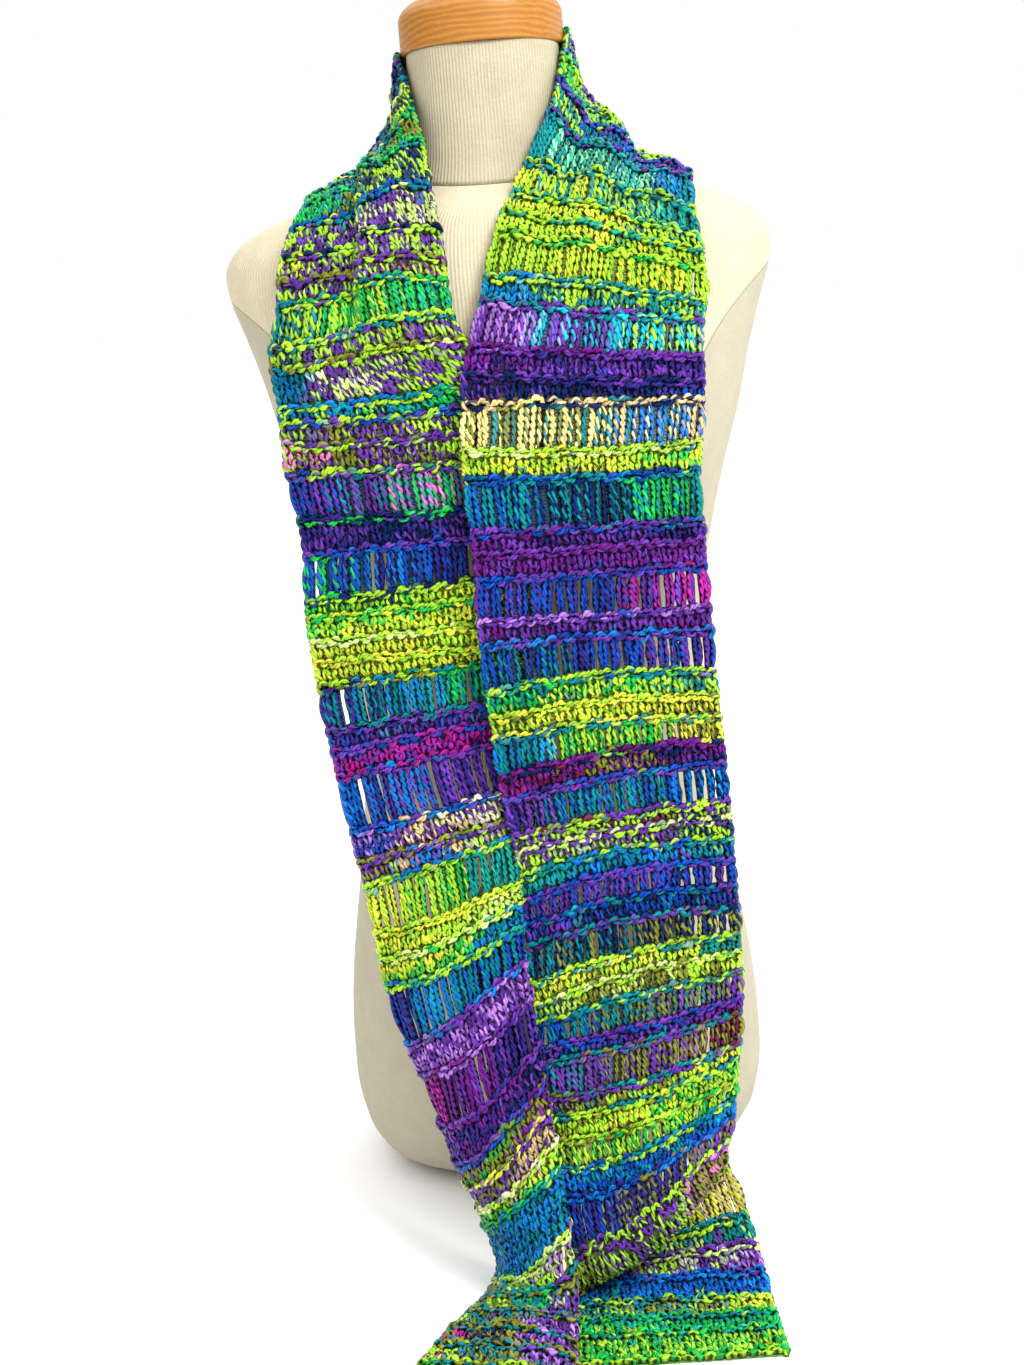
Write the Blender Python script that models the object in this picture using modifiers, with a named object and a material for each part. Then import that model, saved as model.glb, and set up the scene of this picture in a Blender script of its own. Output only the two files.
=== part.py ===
"""Knit scarf worn on a limbless dress form, both tails down the front and their ends lying on the surface.

Metres, +Z up, the front faces -Y. The origin is the centre of the form's flat underside. Left and right are
as seen from the front. Tables are in millimetres and degrees, and MM turns them into metres.
"""
import math

import bmesh
import bpy
import numpy as np
from mathutils.bvhtree import BVHTree

MM = 0.001

# ---------------------------------------------------------------- driving dimensions
CLOTH_WIDTH = 155 * MM  # cut width of the knitting, selvedge to selvedge
WALL = 2.6 * MM  # thickness of the knitted wall
RIDGE_RISE = 1.5 * MM  # how far a garter ridge stands out of the outer face
RIDGE_HALF = 3.2 * MM  # half the width of a garter ridge
HEM_RISE = 1.0 * MM  # cast-off edge
SCALLOP = 1.0 * MM  # how far a selvedge steps out at each ridge
SEAM_GAP = 0.3 * MM  # gap between touching pieces
FORM_GAP = 0.6 * MM  # cloth to form
FOLD_RADIUS = 6 * MM  # radius of the lengthwise fold in the left tail
FAR = 15 * MM  # cloth this far off the form is clear of it
CLEARING_PASSES = 2
PLAIN_STEP = 14 * MM  # longest plain stretch between two rows of points
CELL_SAMPLES = (0, 0.25, 0.5, 0.75, 1)  # where a cell of the cloth is tested against the form

NECK_CUT = 200 * MM  # along each tail, where its neck stretch ends
RIGHT_CUT = 958 * MM  # along the right tail, just past the turn of the tuck
LEFT_CUT = 925 * MM  # along the left tail, just above the surface

GATHER_WAVES = 2.5  # gathers across the cloth round the neck
LAP_START = 0.36  # the pleat on the left shoulder, as shares of the width
LAP_SPAN = 0.26
LAP_RISE = 13 * MM
LAP_FULL = 0.16  # share of the width taken up at which the pleat has its full rise

CAP_RADIUS = 55.5 * MM
CAP_BOTTOM = 802.5 * MM
CAP_SHOULDER = 823 * MM  # where its side starts to round over
CAP_TOP = 840 * MM
CAP_ROUND = 33 * MM  # how far in the rounding reaches
CAP_ARC_STEPS = 6
CAP_LOWER_EDGE = 3 * MM
NECK_SEAM_TILT = 0.236  # the neck seam drops towards the front

FORM_SIDES = 36
FORM_ROUNDNESS = 2.3  # power of the superellipse of the form's sections

# ---------------------------------------------------------------- tables, mm and degrees
# Torso sections: height, half width, front depth, back depth, tilt towards the front
TORSO_SECTIONS = np.array([
    (0, 116, 80, 84, 0),
    (3, 128, 91, 95, 0),
    (10, 140, 101, 105, 0),
    (24, 148, 107, 111, 0),
    (50, 153, 111, 116, 0),
    (100, 155, 113, 118, 0),
    (150, 151, 111, 114, 0),
    (200, 143, 106, 104, 0),
    (250, 134, 100, 91, 0),
    (300, 128, 96, 80, 0),
    (345, 126, 96, 73, 0),
    (390, 128, 101, 71, 0),
    (440, 132, 110, 75, 0),
    (486, 141, 120, 80, 0),
    (520, 150, 125, 84, 0),
    (556, 161, 123, 88, 0),
    (597, 171, 114, 92, 0),
    (631, 181, 103, 94, 0),
    (655, 188, 94, 92, 0),
    (674, 187, 87, 87, 0),
    (688, 175, 82, 81, 0),
    (699, 154, 77, 76, 0.03),
    (707, 130, 73, 71, 0.06),
    (716, 98, 67, 62, 0.13),
    (726, 62, 60, 52, NECK_SEAM_TILT),
], float)

# Neck sections: height, half width, front depth, back depth, tilt
NECK_SECTIONS = np.array([
    (726, 61, 59, 51, NECK_SEAM_TILT),
    (736, 56.5, 55, 50, 0.17),
    (750, 53.5, 53, 50, 0.09),
    (770, 52.4, 52, 51, 0.03),
    (802.2, 52, 52, 52, 0),
], float)

# A row for each station along a tail, from the back of the neck to the end. The outer selvedge, the inner edge,
# how far the row bows out, the height of its gathers, the width that its pleat takes up, the angle by which the
# flap beyond the inner edge is turned behind, and the width of that flap.
#    outer x, y, z        inner x, y, z       bow gather lap turn flap
RIGHT_STATIONS = np.array([
    (0, 88, 688, 0, 57, 802, -10, 1, 0, 0, 0),
    (60, 85, 693, 37, 47, 806, -10, 1, 0, 0, 0),
    (106, 61, 704, 54, 22, 811, -14, 1, 0, 0, 0),
    (127, 18, 713, 57, -4, 811, -18, 1, 0, 0, 0),
    (131, -22, 712, 53, -22, 795, -15, 2, 0, 0, 0),
    (130, -52, 708, 45, -41, 768, -7, 3, 0, 0, 0),
    (128, -70, 705, 26, -63, 731, 1, 3, 0, 0, 0),
    (127, -81, 696, 13, -79, 706, 5, 3, 0, 0, 0),
    (128, -88, 675, 2, -89, 688, 7, 3, 0, 0, 0),
    (130, -95, 658, -6, -102, 664, 8, 2, 0, 0, 0),
    (130, -102, 633, -17, -119, 630, 8, 1, 0, 0, 0),
    (126, -107, 608, -28, -131, 598, 8, 0, 0, 0, 0),
    (124, -110, 565, -31, -138, 569, 8, 0, 0, 0, 0),
    (119, -112, 524, -34, -144, 533, 8, 0, 0, 0, 0),
    (119, -116, 475, -31, -149, 482, 8, 0, 0, 0, 0),
    (120, -122, 423, -32, -152, 437, 8, 0, 0, 0, 0),
    (121, -128, 377, -30, -155, 388, 8, 0, 0, 0, 0),
    (123, -134, 326, -25, -158, 342, 8, 0, 0, 0, 0),
    (125, -142, 270, -15, -163, 289, 8, 0, 0, 0, 0),
    (125, -149, 230, -11, -166, 238, 8, 0, 0, 0, 0),
    (124, -158, 183, -11, -171, 188, 8, 0, 0, 0, 0),
    (119, -167, 144, -14, -181, 142, 8, 1, 0, 0, 0),
    (113, -177, 108, -13, -196, 91, 8, 2, 0, 0, 0),
    (109, -184, 90, -8, -213, 53, 9, 2, 0, 0, 0),
    (105, -187, 81, -5, -229, 32, 14, 1, 0, 0, 0),
    (103.5, -188.5, 75.5, -3, -237, 17, 18, 0, 0, 0, 0),
    (103.5, -188.5, 74, -3, -232, 9.5, 14, 0, 0, 0, 0),
    (103.5, -188.5, 72.5, -3, -212, 8, 8, 0, 0, 0, 0),
    (104, -188.5, 71, -3, -180, 7, 2, 0, 0, 0, 0),
    (104, -186.5, 69, -3, -170, 4.4, 0, 0, 0, 0, 0),
    (105, -190.5, 64, -3, -174, 1.7, 0, 0, 0, 0, 0),
    (110, -198, 51, -4, -181, 1.3, 0, 0, 0, 0, 0),
    (116, -212, 30, -6, -194, 1.3, 0, 0, 0, 0, 0),
    (120, -232, 12, -8, -216, 1.3, 0, 0, 0, 0, 0),
    (122, -258, 2.2, -8, -250, 1.3, 0, 0, 0, 0, 0),
    (122.5, -303, 1.3, -8, -301, 1.3, 0, 0, 0, 0, 0),
], float)

LEFT_STATIONS = np.array([
    (0, 88, 688, 0, 57, 802, -10, 1, 0, 0, 0),
    (-60, 85, 693, -37, 47, 803, -10, 1, 0, 0, 0),
    (-104, 61, 704, -54, 22, 806, -14, 1, 0, 0, 0),
    (-122, 18, 713, -57, -4, 803, -18, 1, 0, 0, 0),
    (-126, -22, 713, -53, -22, 785, -18, 2, 5, 0, 0),
    (-124, -52, 710, -48, -40, 762, -8, 2, 15, 0, 0),
    (-121, -74, 707, -43, -62, 734, 3, 2, 26, 0, 0),
    (-127, -83, 700, -41, -80, 709, 6, 1, 30, 0, 0),
    (-135, -90, 684, -37, -95, 681, 8, 0, 30, 0, 0),
    (-141, -98, 666, -35, -108, 656, 8, 0, 28, 0, 0),
    (-144, -105, 643, -34, -116, 639, 8, 0, 22, 0, 0),
    (-151, -110, 611, -40, -122, 604, 8, 0, 10, 0, 20),
    (-149, -112, 580, -43, -124, 572, 7, 0, 0, 0, 45),
    (-148, -114, 542, -40, -127, 535, 6, 0, 0, 0, 45),
    (-142, -116, 496, -38, -131, 488, 6, 0, 0, 0, 45),
    (-144, -121, 444, -39, -134, 438, 6, 0, 0, 0, 45),
    (-140, -127, 397, -38, -139, 391, 6, 0, 0, 0, 45),
    (-134, -134, 347, -40, -145, 343, 6, 0, 0, 0, 45),
    (-127, -143, 298, -27, -160, 291, 8, 0, 0, 90, 45),
    (-119, -153, 258, -27, -174, 262, 9, 0, 0, 160, 46),
    (-113, -163, 209, -29, -190, 228, 10, 0, 0, 180, 50),
    (-103, -173, 170, -26, -205, 190, 12, 0, 0, 180, 52),
    (-88, -183, 131, -23, -222, 149, 14, 0, 0, 180, 55),
    (-76, -190, 90, -20, -236, 111, 16, 0, 0, 180, 58),
    (-63, -187, 55, -18, -246, 80, 15, 0, 0, 180, 60),
    (-55, -186, 26, -17, -257, 54, 12, 0, 0, 180, 60),
    (-52, -196, 7, -15, -270, 36, 10, 0, 0, 180, 58),
    (-62, -219, 1.5, -14, -288, 24, 9, 0, 0, 180, 55),
    (-83, -250, 1.3, -14, -309, 19, 7, 0, 0, 180, 50),
    (-103, -284, 1.3, -15, -334, 14, 5, 0, 0, 180, 47),
    (-122, -318, 1.3, -17, -360, 13.3, 3, 0, 0, 180, 45),
], float)

# Garter ridges, as distances along each tail from the back of the neck
NECK_RIDGES = (22, 46, 70, 94, 118, 142, 166, 186)
RIGHT_RIDGES = (216, 234, 252, 269, 304, 317, 350, 360, 378, 405, 427, 457, 471, 483, 510, 525, 554, 570, 583,
                608, 623, 646, 660, 676, 688, 709, 721, 743, 760, 770, 791, 801, 831, 844, 859, 884, 906,
                976, 992, 1008, 1034, 1058)
LEFT_RIDGES = (208, 226, 248, 269, 283, 298, 315, 334, 356, 368, 384, 404, 433, 450, 481, 496, 514, 528, 545,
               570, 587, 603, 634, 654, 670, 705, 722, 739, 768, 793, 833, 858, 879, 905, 938,
               965, 984, 1003, 1022, 1041)

# Extra rows of points where the right tail tucks under itself
TUCK_ROWS = (913, 917, 921, 926, 933, 939, 943, 946, 948.5, 950.5, 952.5, 955)

# Columns of points across the cloth, from the outer selvedge to the inner edge. Two narrow pairs are where the
# dropped stitches leave gaps of more than 4 mm.
RIGHT_COLUMNS = (0, 0.06, 0.09, 0.20, 0.23, 0.40, 0.60, 0.80, 1)
LEFT_COLUMNS = (0, 0.07, 0.105, 0.32, 0.41, 0.50, 0.60, 0.70, 0.77, 1)

# Gaps: the ridge that the dropped stitches start from, and the columns that are open below it
RIGHT_GAPS = ((483, (1, 3)), (525, (1, 3)), (583, (3,)), (623, (1, 3)), (688, (1, 3)), (721, (1,)))
LEFT_GAPS = ((545, (1,)), (603, (1,)), (670, (1,)), (739, (1,)), (768, (1,)), (793, (1,)))


# ---------------------------------------------------------------- helpers
def through(places, values, at):
    """Values at the given places along a smooth curve that passes through each row of a table."""
    slope = np.gradient(values, places, axis=0)
    i = np.clip(np.searchsorted(places, at, "right") - 1, 0, len(places) - 2)
    span = (places[i + 1] - places[i])[:, None]
    t = ((at - places[i]) / span[:, 0])[:, None]
    return (
        (1 + 2 * t) * (1 - t) ** 2 * values[i]
        + t * (1 - t) ** 2 * span * slope[i]
        + t * t * (3 - 2 * t) * values[i + 1]
        + t * t * (t - 1) * span * slope[i + 1]
    )


def unit(vectors):
    return vectors / np.linalg.norm(vectors, axis=-1, keepdims=True)


def smooth_step(t):
    t = np.clip(t, 0, 1)
    return t * t * (3 - 2 * t)


def principled(name, colour, roughness):
    material = bpy.data.materials.new(name)
    material.use_nodes = True
    shader = material.node_tree.nodes["Principled BSDF"]
    shader.inputs["Base Color"].default_value = (*colour, 1)
    shader.inputs["Roughness"].default_value = roughness
    shader.inputs["Metallic"].default_value = 0
    return material


def add_object(name, points, faces, material, collection):
    """Make a closed piece from points and faces, with its faces turned outwards."""
    mesh = bpy.data.meshes.new(name)
    mesh.from_pydata([tuple(p) for p in points], [], faces)
    mesh.materials.append(material)
    work = bmesh.new()
    work.from_mesh(mesh)
    bmesh.ops.recalc_face_normals(work, faces=work.faces)
    work.to_mesh(mesh)
    work.free()
    mesh.shade_smooth()
    mesh.set_sharp_from_angle(angle=math.radians(40))
    piece = bpy.data.objects.new(name, mesh)
    collection.objects.link(piece)
    return piece


# ---------------------------------------------------------------- dress form
def section_rings(sections, heights):
    """Superellipse rings of a loft, one for each height, as an array of rings, sides and x y z."""
    table = through(sections[:, 0] * MM, sections * np.array([MM, MM, MM, MM, 1]), heights)
    height, half_width, front, back, tilt = (table[:, i : i + 1] for i in range(5))
    turn = np.linspace(0, 2 * np.pi, FORM_SIDES, endpoint=False)[None, :]
    across = np.sign(np.cos(turn)) * np.abs(np.cos(turn)) ** (2 / FORM_ROUNDNESS)
    deep = np.sign(np.sin(turn)) * np.abs(np.sin(turn)) ** (2 / FORM_ROUNDNESS)
    x = half_width * across
    y = np.where(deep < 0, front, back) * deep
    return np.stack([x, y, height + tilt * y], axis=-1)


def loft(rings):
    """Points and faces of a closed loft with flat ends."""
    count, sides = rings.shape[:2]
    faces = []
    for ring in range(count - 1):
        for side in range(sides):
            after = (side + 1) % sides
            low, high = ring * sides, (ring + 1) * sides
            faces.append((low + side, low + after, high + after, high + side))
    faces.append(tuple(range(sides - 1, -1, -1)))
    faces.append(tuple((count - 1) * sides + side for side in range(sides)))
    return rings.reshape(-1, 3), faces


def build_form(collection):
    jersey = principled("form jersey", (0.78, 0.72, 0.62), 0.85)
    wood = principled("form wood", (0.42, 0.19, 0.07), 0.45)

    torso_heights = TORSO_SECTIONS[:, 0] * MM
    torso = section_rings(TORSO_SECTIONS, torso_heights)
    torso[0, :, 2] = 0
    neck = section_rings(NECK_SECTIONS, NECK_SECTIONS[:, 0] * MM)
    neck[0, :, 2] += SEAM_GAP
    torso_points, torso_faces = loft(torso)
    neck_points, neck_faces = loft(neck)
    add_object("form_torso", torso_points, torso_faces, jersey, collection)
    add_object("form_neck", neck_points, neck_faces, jersey, collection)

    # turned cap: profile down its outer side, then a screw
    profile = [(0, CAP_TOP)]
    for i in range(CAP_ARC_STEPS + 1):
        turn = math.pi / 2 * i / CAP_ARC_STEPS
        inset = CAP_ROUND * (1 - math.sin(turn))
        profile.append((CAP_RADIUS - inset, CAP_SHOULDER + (CAP_TOP - CAP_SHOULDER) * math.cos(turn)))
    profile.append((CAP_RADIUS, CAP_BOTTOM + CAP_LOWER_EDGE))
    profile.append((CAP_RADIUS - CAP_LOWER_EDGE / 2, CAP_BOTTOM))
    profile.append((0, CAP_BOTTOM))
    mesh = bpy.data.meshes.new("form_cap")
    mesh.from_pydata([(r, 0, z) for r, z in profile], [(i, i + 1) for i in range(len(profile) - 1)], [])
    mesh.materials.append(wood)
    cap = bpy.data.objects.new("form_cap", mesh)
    collection.objects.link(cap)
    screw = cap.modifiers.new("turn", "SCREW")
    screw.steps = screw.render_steps = FORM_SIDES
    screw.use_merge_vertices = True
    screw.merge_threshold = 0.0001
    screw.use_smooth_shade = True
    return [(torso_points, torso_faces), (neck_points, neck_faces)]


# ---------------------------------------------------------------- scarf
def station_table(stations):
    """Distances along the middle of a tail, and its table in metres and radians."""
    scale = np.array([MM] * 9 + [math.pi / 180, MM])
    table = stations * scale
    middle = (table[:, 0:3] + table[:, 3:6]) / 2
    steps = np.linalg.norm(np.diff(middle, axis=0), axis=1)
    return np.concatenate([[0], np.cumsum(steps)]), table


def cloth(stations, facing, along, across):
    """Middle surface of a tail, at distances along it and shares of its width.

    Each row runs on a chord from the outer selvedge to the inner edge. It bows out of the chord, rises in
    gathers, laps over itself in a pleat, and past the inner edge its flap turns behind round FOLD_RADIUS.
    """
    places, table = station_table(stations)
    row = through(places, table, along)
    outer, inner = row[:, 0:3], row[:, 3:6]
    bow, gather, lap, turn, flap = (row[:, i : i + 1] for i in range(6, 11))
    step = 0.1 * MM
    before = through(places, table, np.clip(along - step, places[0], places[-1]))
    after = through(places, table, np.clip(along + step, places[0], places[-1]))
    length_way = unit(after[:, 0:3] + after[:, 3:6] - before[:, 0:3] - before[:, 3:6])
    chord = np.linalg.norm(inner - outer, axis=1)[:, None]
    row_way = (inner - outer) / chord
    out_way = unit(np.cross(row_way, length_way)) * facing

    fold_line = 1 - flap / CLOTH_WIDTH
    share = np.clip(across[None, :] / fold_line, 0, 1)
    taken = lap / CLOTH_WIDTH
    lapped = smooth_step((share - LAP_START) / LAP_SPAN)
    on_chord = (share - taken * lapped) / (1 - taken) * chord
    lift = (
        4 * bow * share * (1 - share)
        + gather * np.sin(2 * np.pi * GATHER_WAVES * share) * np.sqrt(np.sin(np.pi * share).clip(0))
        + LAP_RISE * np.clip(taken / LAP_FULL, 0, 1) * (lapped - share)
    )
    past = np.clip(across[None, :] - fold_line, 0, None) * CLOTH_WIDTH
    bend = np.minimum(past / FOLD_RADIUS, turn)
    beyond = np.clip(past - turn * FOLD_RADIUS, 0, None)
    on_chord = on_chord + FOLD_RADIUS * np.sin(bend) + beyond * np.cos(turn)
    lift = lift - FOLD_RADIUS * (1 - np.cos(bend)) - beyond * np.sin(turn)
    return outer[:, None] + on_chord[..., None] * row_way[:, None] + lift[..., None] * out_way[:, None]


def cloth_normals(stations, facing, along, across):
    step = 0.1 * MM
    end = station_table(stations)[0][-1]
    down = cloth(stations, facing, np.clip(along + step, 0, end), across)
    down = down - cloth(stations, facing, np.clip(along - step, 0, end), across)
    share = step / CLOTH_WIDTH
    wide = cloth(stations, facing, along, np.clip(across + share, 0, 1))
    wide = wide - cloth(stations, facing, along, np.clip(across - share, 0, 1))
    return unit(np.cross(wide, down)) * facing


def row_places(start, end, ridges, extra_rows):
    """Distances of the rows of points, and how much of a ridge's rise each row has."""
    places = {start: 0.0, end: 0.0}
    places.update({row: 0.0 for row in extra_rows})
    for ridge in ridges:
        places[ridge - RIDGE_HALF] = 0.0
        places[ridge] = 1.0
        places[ridge + RIDGE_HALF] = 0.0
    ordered = sorted(places)
    for low, high in zip(ordered, ordered[1:]):
        extra = int((high - low) // PLAIN_STEP)
        for i in range(extra):
            places[low + (high - low) * (i + 1) / (extra + 1)] = 0.0
    ordered = sorted(places)
    return np.array(ordered), np.array([places[p] for p in ordered])


def wall(outer, inner, open_cells):
    """Points and faces of a closed wall between two grids, cut through at the open cells."""
    rows, columns = outer.shape[:2]
    points = np.concatenate([outer.reshape(-1, 3), inner.reshape(-1, 3)])
    back = rows * columns
    solid = np.ones((rows - 1, columns - 1), bool)
    for cell in open_cells:
        solid[cell] = False
    padded = np.pad(solid, 1)
    faces = []
    for r in range(rows - 1):
        for c in range(columns - 1):
            if not solid[r, c]:
                continue
            corners = (r * columns + c, (r + 1) * columns + c, (r + 1) * columns + c + 1, r * columns + c + 1)
            faces.append(corners)
            faces.append(tuple(back + i for i in reversed(corners)))
            neighbours = (padded[r + 1, c], padded[r + 2, c + 1], padded[r + 1, c + 2], padded[r, c + 1])
            for side in range(4):
                if not neighbours[side]:
                    a, b = corners[side], corners[(side + 1) % 4]
                    faces.append((b, a, back + a, back + b))
    return points, faces


def depth_over(trees, spot):
    """How far a point stands off the nearest form surface, and that surface's normal."""
    best = (FAR, np.zeros(3))
    for tree in trees:
        near, normal, _, distance = tree.find_nearest(tuple(spot))
        depth = float(np.dot(spot - np.array(near), np.array(normal)))
        if distance < FAR and depth < best[0]:
            best = (depth, np.array(normal))
    return best


def clear_of(trees, outer, inner, gap):
    """Move a wall out of what it lies on, wherever a sample of a cell of its inner face is nearer than the gap."""
    samples = [(u, v) for u in CELL_SAMPLES for v in CELL_SAMPLES]
    cells = list(np.ndindex(inner.shape[0] - 1, inner.shape[1] - 1))
    for r, c in cells * CLEARING_PASSES:
        patch = (slice(r, r + 2), slice(c, c + 2))
        for u, v in samples:
            weights = np.outer((1 - u, u), (1 - v, v))[..., None]
            depth, normal = depth_over(trees, (inner[patch] * weights).sum(axis=(0, 1)))
            if depth < gap:
                inner[patch] += normal * (gap - depth)
                outer[patch] += normal * (gap - depth)


def build_tail(side, stations, facing, ridges, columns, gaps, cuts, extra_rows, trees, material, collection):
    """One tail from the back of the neck to its cast-off end, as a wall that is cut into three stretches."""
    half = SEAM_GAP / 2
    end = station_table(stations)[0][-1]
    seams = [place for cut in cuts for place in (cut - half, cut + half)]
    along, ridge = row_places(half, end, [r * MM for r in ridges], seams + [row * MM for row in extra_rows])
    across = np.array(columns, float)
    middle = cloth(stations, facing, along, across)
    normals = cloth_normals(stations, facing, along, across)
    rise = ridge * RIDGE_RISE
    rise[-1] = HEM_RISE
    outer = middle + normals * (WALL / 2 + rise[:, None, None])
    inner = middle - normals * (WALL / 2)
    step_out = unit(middle[:, 0] - middle[:, 1]) * (ridge * SCALLOP)[:, None]
    outer[:, 0] += step_out
    inner[:, 0] += step_out
    clear_of(trees, outer, inner, FORM_GAP)
    lift = np.clip(-np.minimum(outer[..., 2], inner[..., 2]), 0, None)
    for grid in (outer, inner):
        grid[..., 2] += lift
        grid[..., 2] = np.where(grid[..., 2] < FORM_GAP, 0, grid[..., 2])
    outer[0, :, 0] = facing * half
    inner[0, :, 0] = facing * half
    for cut in cuts:
        before = int(np.argmin(np.abs(along - (cut - half))))
        way = unit((middle[before + 1] - middle[before]).mean(axis=0))
        seam = (inner[before] + inner[before + 1]) / 2
        thick = (outer[before] + outer[before + 1]) / 2 - seam
        thick -= (thick @ way)[:, None] * way
        for row, move in ((before, -half), (before + 1, half)):
            inner[row] = seam + way * move
            outer[row] = inner[row] + thick

    open_cells = []
    for ridge_mm, gap_columns in gaps:
        first = int(np.argmin(np.abs(along - (ridge_mm * MM + RIDGE_HALF))))
        last = first + int(np.argmax(ridge[first:] > 0)) - 1
        open_cells += [(row, column) for row in range(first, last) for column in gap_columns]

    limits = [half, *seams, end]
    for i, stretch in enumerate(("neck", "fall", "end")):
        first = int(np.argmin(np.abs(along - limits[2 * i])))
        last = int(np.argmin(np.abs(along - limits[2 * i + 1]))) + 1
        cells = [(row - first, column) for row, column in open_cells if first <= row < last - 1]
        points, faces = wall(outer[first:last], inner[first:last], cells)
        add_object(f"scarf_{side}_{stretch}", points, faces, material, collection)


def build_scarf(form_shapes, collection):
    yarn = principled("scarf yarn", (0.10, 0.35, 0.45), 0.9)
    trees = [BVHTree.FromPolygons([tuple(p) for p in points], faces) for points, faces in form_shapes]
    build_tail("left", LEFT_STATIONS, -1, NECK_RIDGES + LEFT_RIDGES, LEFT_COLUMNS, LEFT_GAPS,
               (NECK_CUT, LEFT_CUT), (), trees, yarn, collection)
    build_tail("right", RIGHT_STATIONS, 1, NECK_RIDGES + RIGHT_RIDGES, RIGHT_COLUMNS, RIGHT_GAPS,
               (NECK_CUT, RIGHT_CUT), TUCK_ROWS, trees, yarn, collection)


def main():
    for old in list(bpy.data.objects):
        bpy.data.objects.remove(old, do_unlink=True)
    collection = bpy.data.collections.new("knit scarf on dress form")
    bpy.context.scene.collection.children.link(collection)
    form_shapes = build_form(collection)
    build_scarf(form_shapes, collection)


main()
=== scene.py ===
# Looks of a hand-knit scarf worn on a limbless dress form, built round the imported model.
# Metres, +Z up, the front faces -Y. Left and right are as seen from the front. Tables are in millimetres. The
# cloth's surface follows the same rows as the model's. On it every stitch is modelled as thick two-ply yarn:
# knit legs, garter ridges, long dropped strands and selvedge loops, over a thin shell that closes the fabric.
import math
import time
from functools import partial

import bpy
import numpy as np
from mathutils import Matrix, Vector


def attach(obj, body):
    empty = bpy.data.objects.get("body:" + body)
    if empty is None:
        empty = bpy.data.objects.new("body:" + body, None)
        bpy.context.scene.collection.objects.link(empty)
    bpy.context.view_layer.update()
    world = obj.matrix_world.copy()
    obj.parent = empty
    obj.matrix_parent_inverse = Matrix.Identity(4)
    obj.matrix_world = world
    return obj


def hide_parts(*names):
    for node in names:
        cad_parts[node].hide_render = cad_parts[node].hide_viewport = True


startTime = time.time()
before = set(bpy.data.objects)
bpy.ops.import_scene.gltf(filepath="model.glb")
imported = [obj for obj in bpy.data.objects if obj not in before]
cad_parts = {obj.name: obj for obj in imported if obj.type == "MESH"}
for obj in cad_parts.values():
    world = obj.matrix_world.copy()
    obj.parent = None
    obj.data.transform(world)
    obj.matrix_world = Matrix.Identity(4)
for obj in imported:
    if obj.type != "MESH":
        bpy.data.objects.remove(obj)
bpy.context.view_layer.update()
rng = np.random.default_rng(11)
mm = 0.001


def report(stage):
    print(f"{stage}: {time.time() - startTime:.0f} s")


# The words of each line of a table, and the same as numbers.
def wordsOf(text):
    return [line.split() for line in text.strip().splitlines()]


def numbersOf(text):
    return np.array(wordsOf(text), float)


palette = {
    "lime": (0.60, 0.80, 0.17), "yellow": (0.80, 0.82, 0.22), "pale": (0.75, 0.84, 0.48),
    "green": (0.10, 0.64, 0.26), "olive": (0.45, 0.47, 0.16), "sea": (0.09, 0.57, 0.47),
    "teal": (0.03, 0.45, 0.49), "cyan": (0.04, 0.64, 0.72), "azure": (0.05, 0.42, 0.73),
    "blue": (0.07, 0.25, 0.61), "navy": (0.05, 0.13, 0.32), "indigo": (0.17, 0.14, 0.43),
    "violet": (0.36, 0.19, 0.57), "purple": (0.37, 0.10, 0.45), "lilac": (0.62, 0.42, 0.77),
    "magenta": (0.63, 0.11, 0.51), "pink": (0.86, 0.47, 0.70), "shell": (0.88, 0.80, 0.76),
    "straw": (0.88, 0.83, 0.50), "cream": (0.88, 0.87, 0.68), "beige": (0.78, 0.68, 0.48),
    "maroon": (0.36, 0.08, 0.22), "mint": (0.48, 0.77, 0.59),
}
dye = {
    "strength": 0.98,
    "contrast": 0.95,  # between the two plies
    "rowShift": 0.28,  # how far colours stray along a row, in half widths, and how unevenly light it is
    "rowLight": 0.16,
    "stitchShift": 0.14,
    "steep": 2.4,  # how suddenly one colour takes over from the next
    "flecks": 0.20,  # share of the stitches that take the colour of a row near them, at least by fleckLeast
    "fleckLeast": 0.55,
    "swapped": 0.30,  # share of the stitches whose plies change places, or whose plies are both the first
    "bothFirst": 0.22,
    "bothSecond": 0.12,
}


# Display colour to linear light: below 0.04045 divided by 12.92, above it ((c + 0.055) / 1.055) to 2.4.
def linear(colour):
    c = np.array(colour, float)
    return np.where(c <= 0.04045, c / 12.92, ((c + 0.055) / 1.055) ** 2.4)


# A palette colour in linear light, drawn away from its own grey by the dye strength.
def dyed(name):
    c = linear(palette[name])
    grey = c @ np.array([0.30, 0.59, 0.11])
    return np.clip(grey + (c - grey) * dye["strength"], 0.004, 0.95)


clothSize = {
    "width": 155 * mm,  # selvedge to selvedge
    "wall": 2.6 * mm,
    "formGap": 0.6 * mm,
    "foldRadius": 6 * mm,
    "gatherWaves": 2.5,
    "lapStart": 0.36,  # where the pleat starts and how far it reaches, as shares of the width
    "lapSpan": 0.26,
    "lapRise": 13 * mm,  # its height, once it takes lapFull of the width
    "lapFull": 0.16,
    "seam": 0.3 * mm,
}

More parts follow.
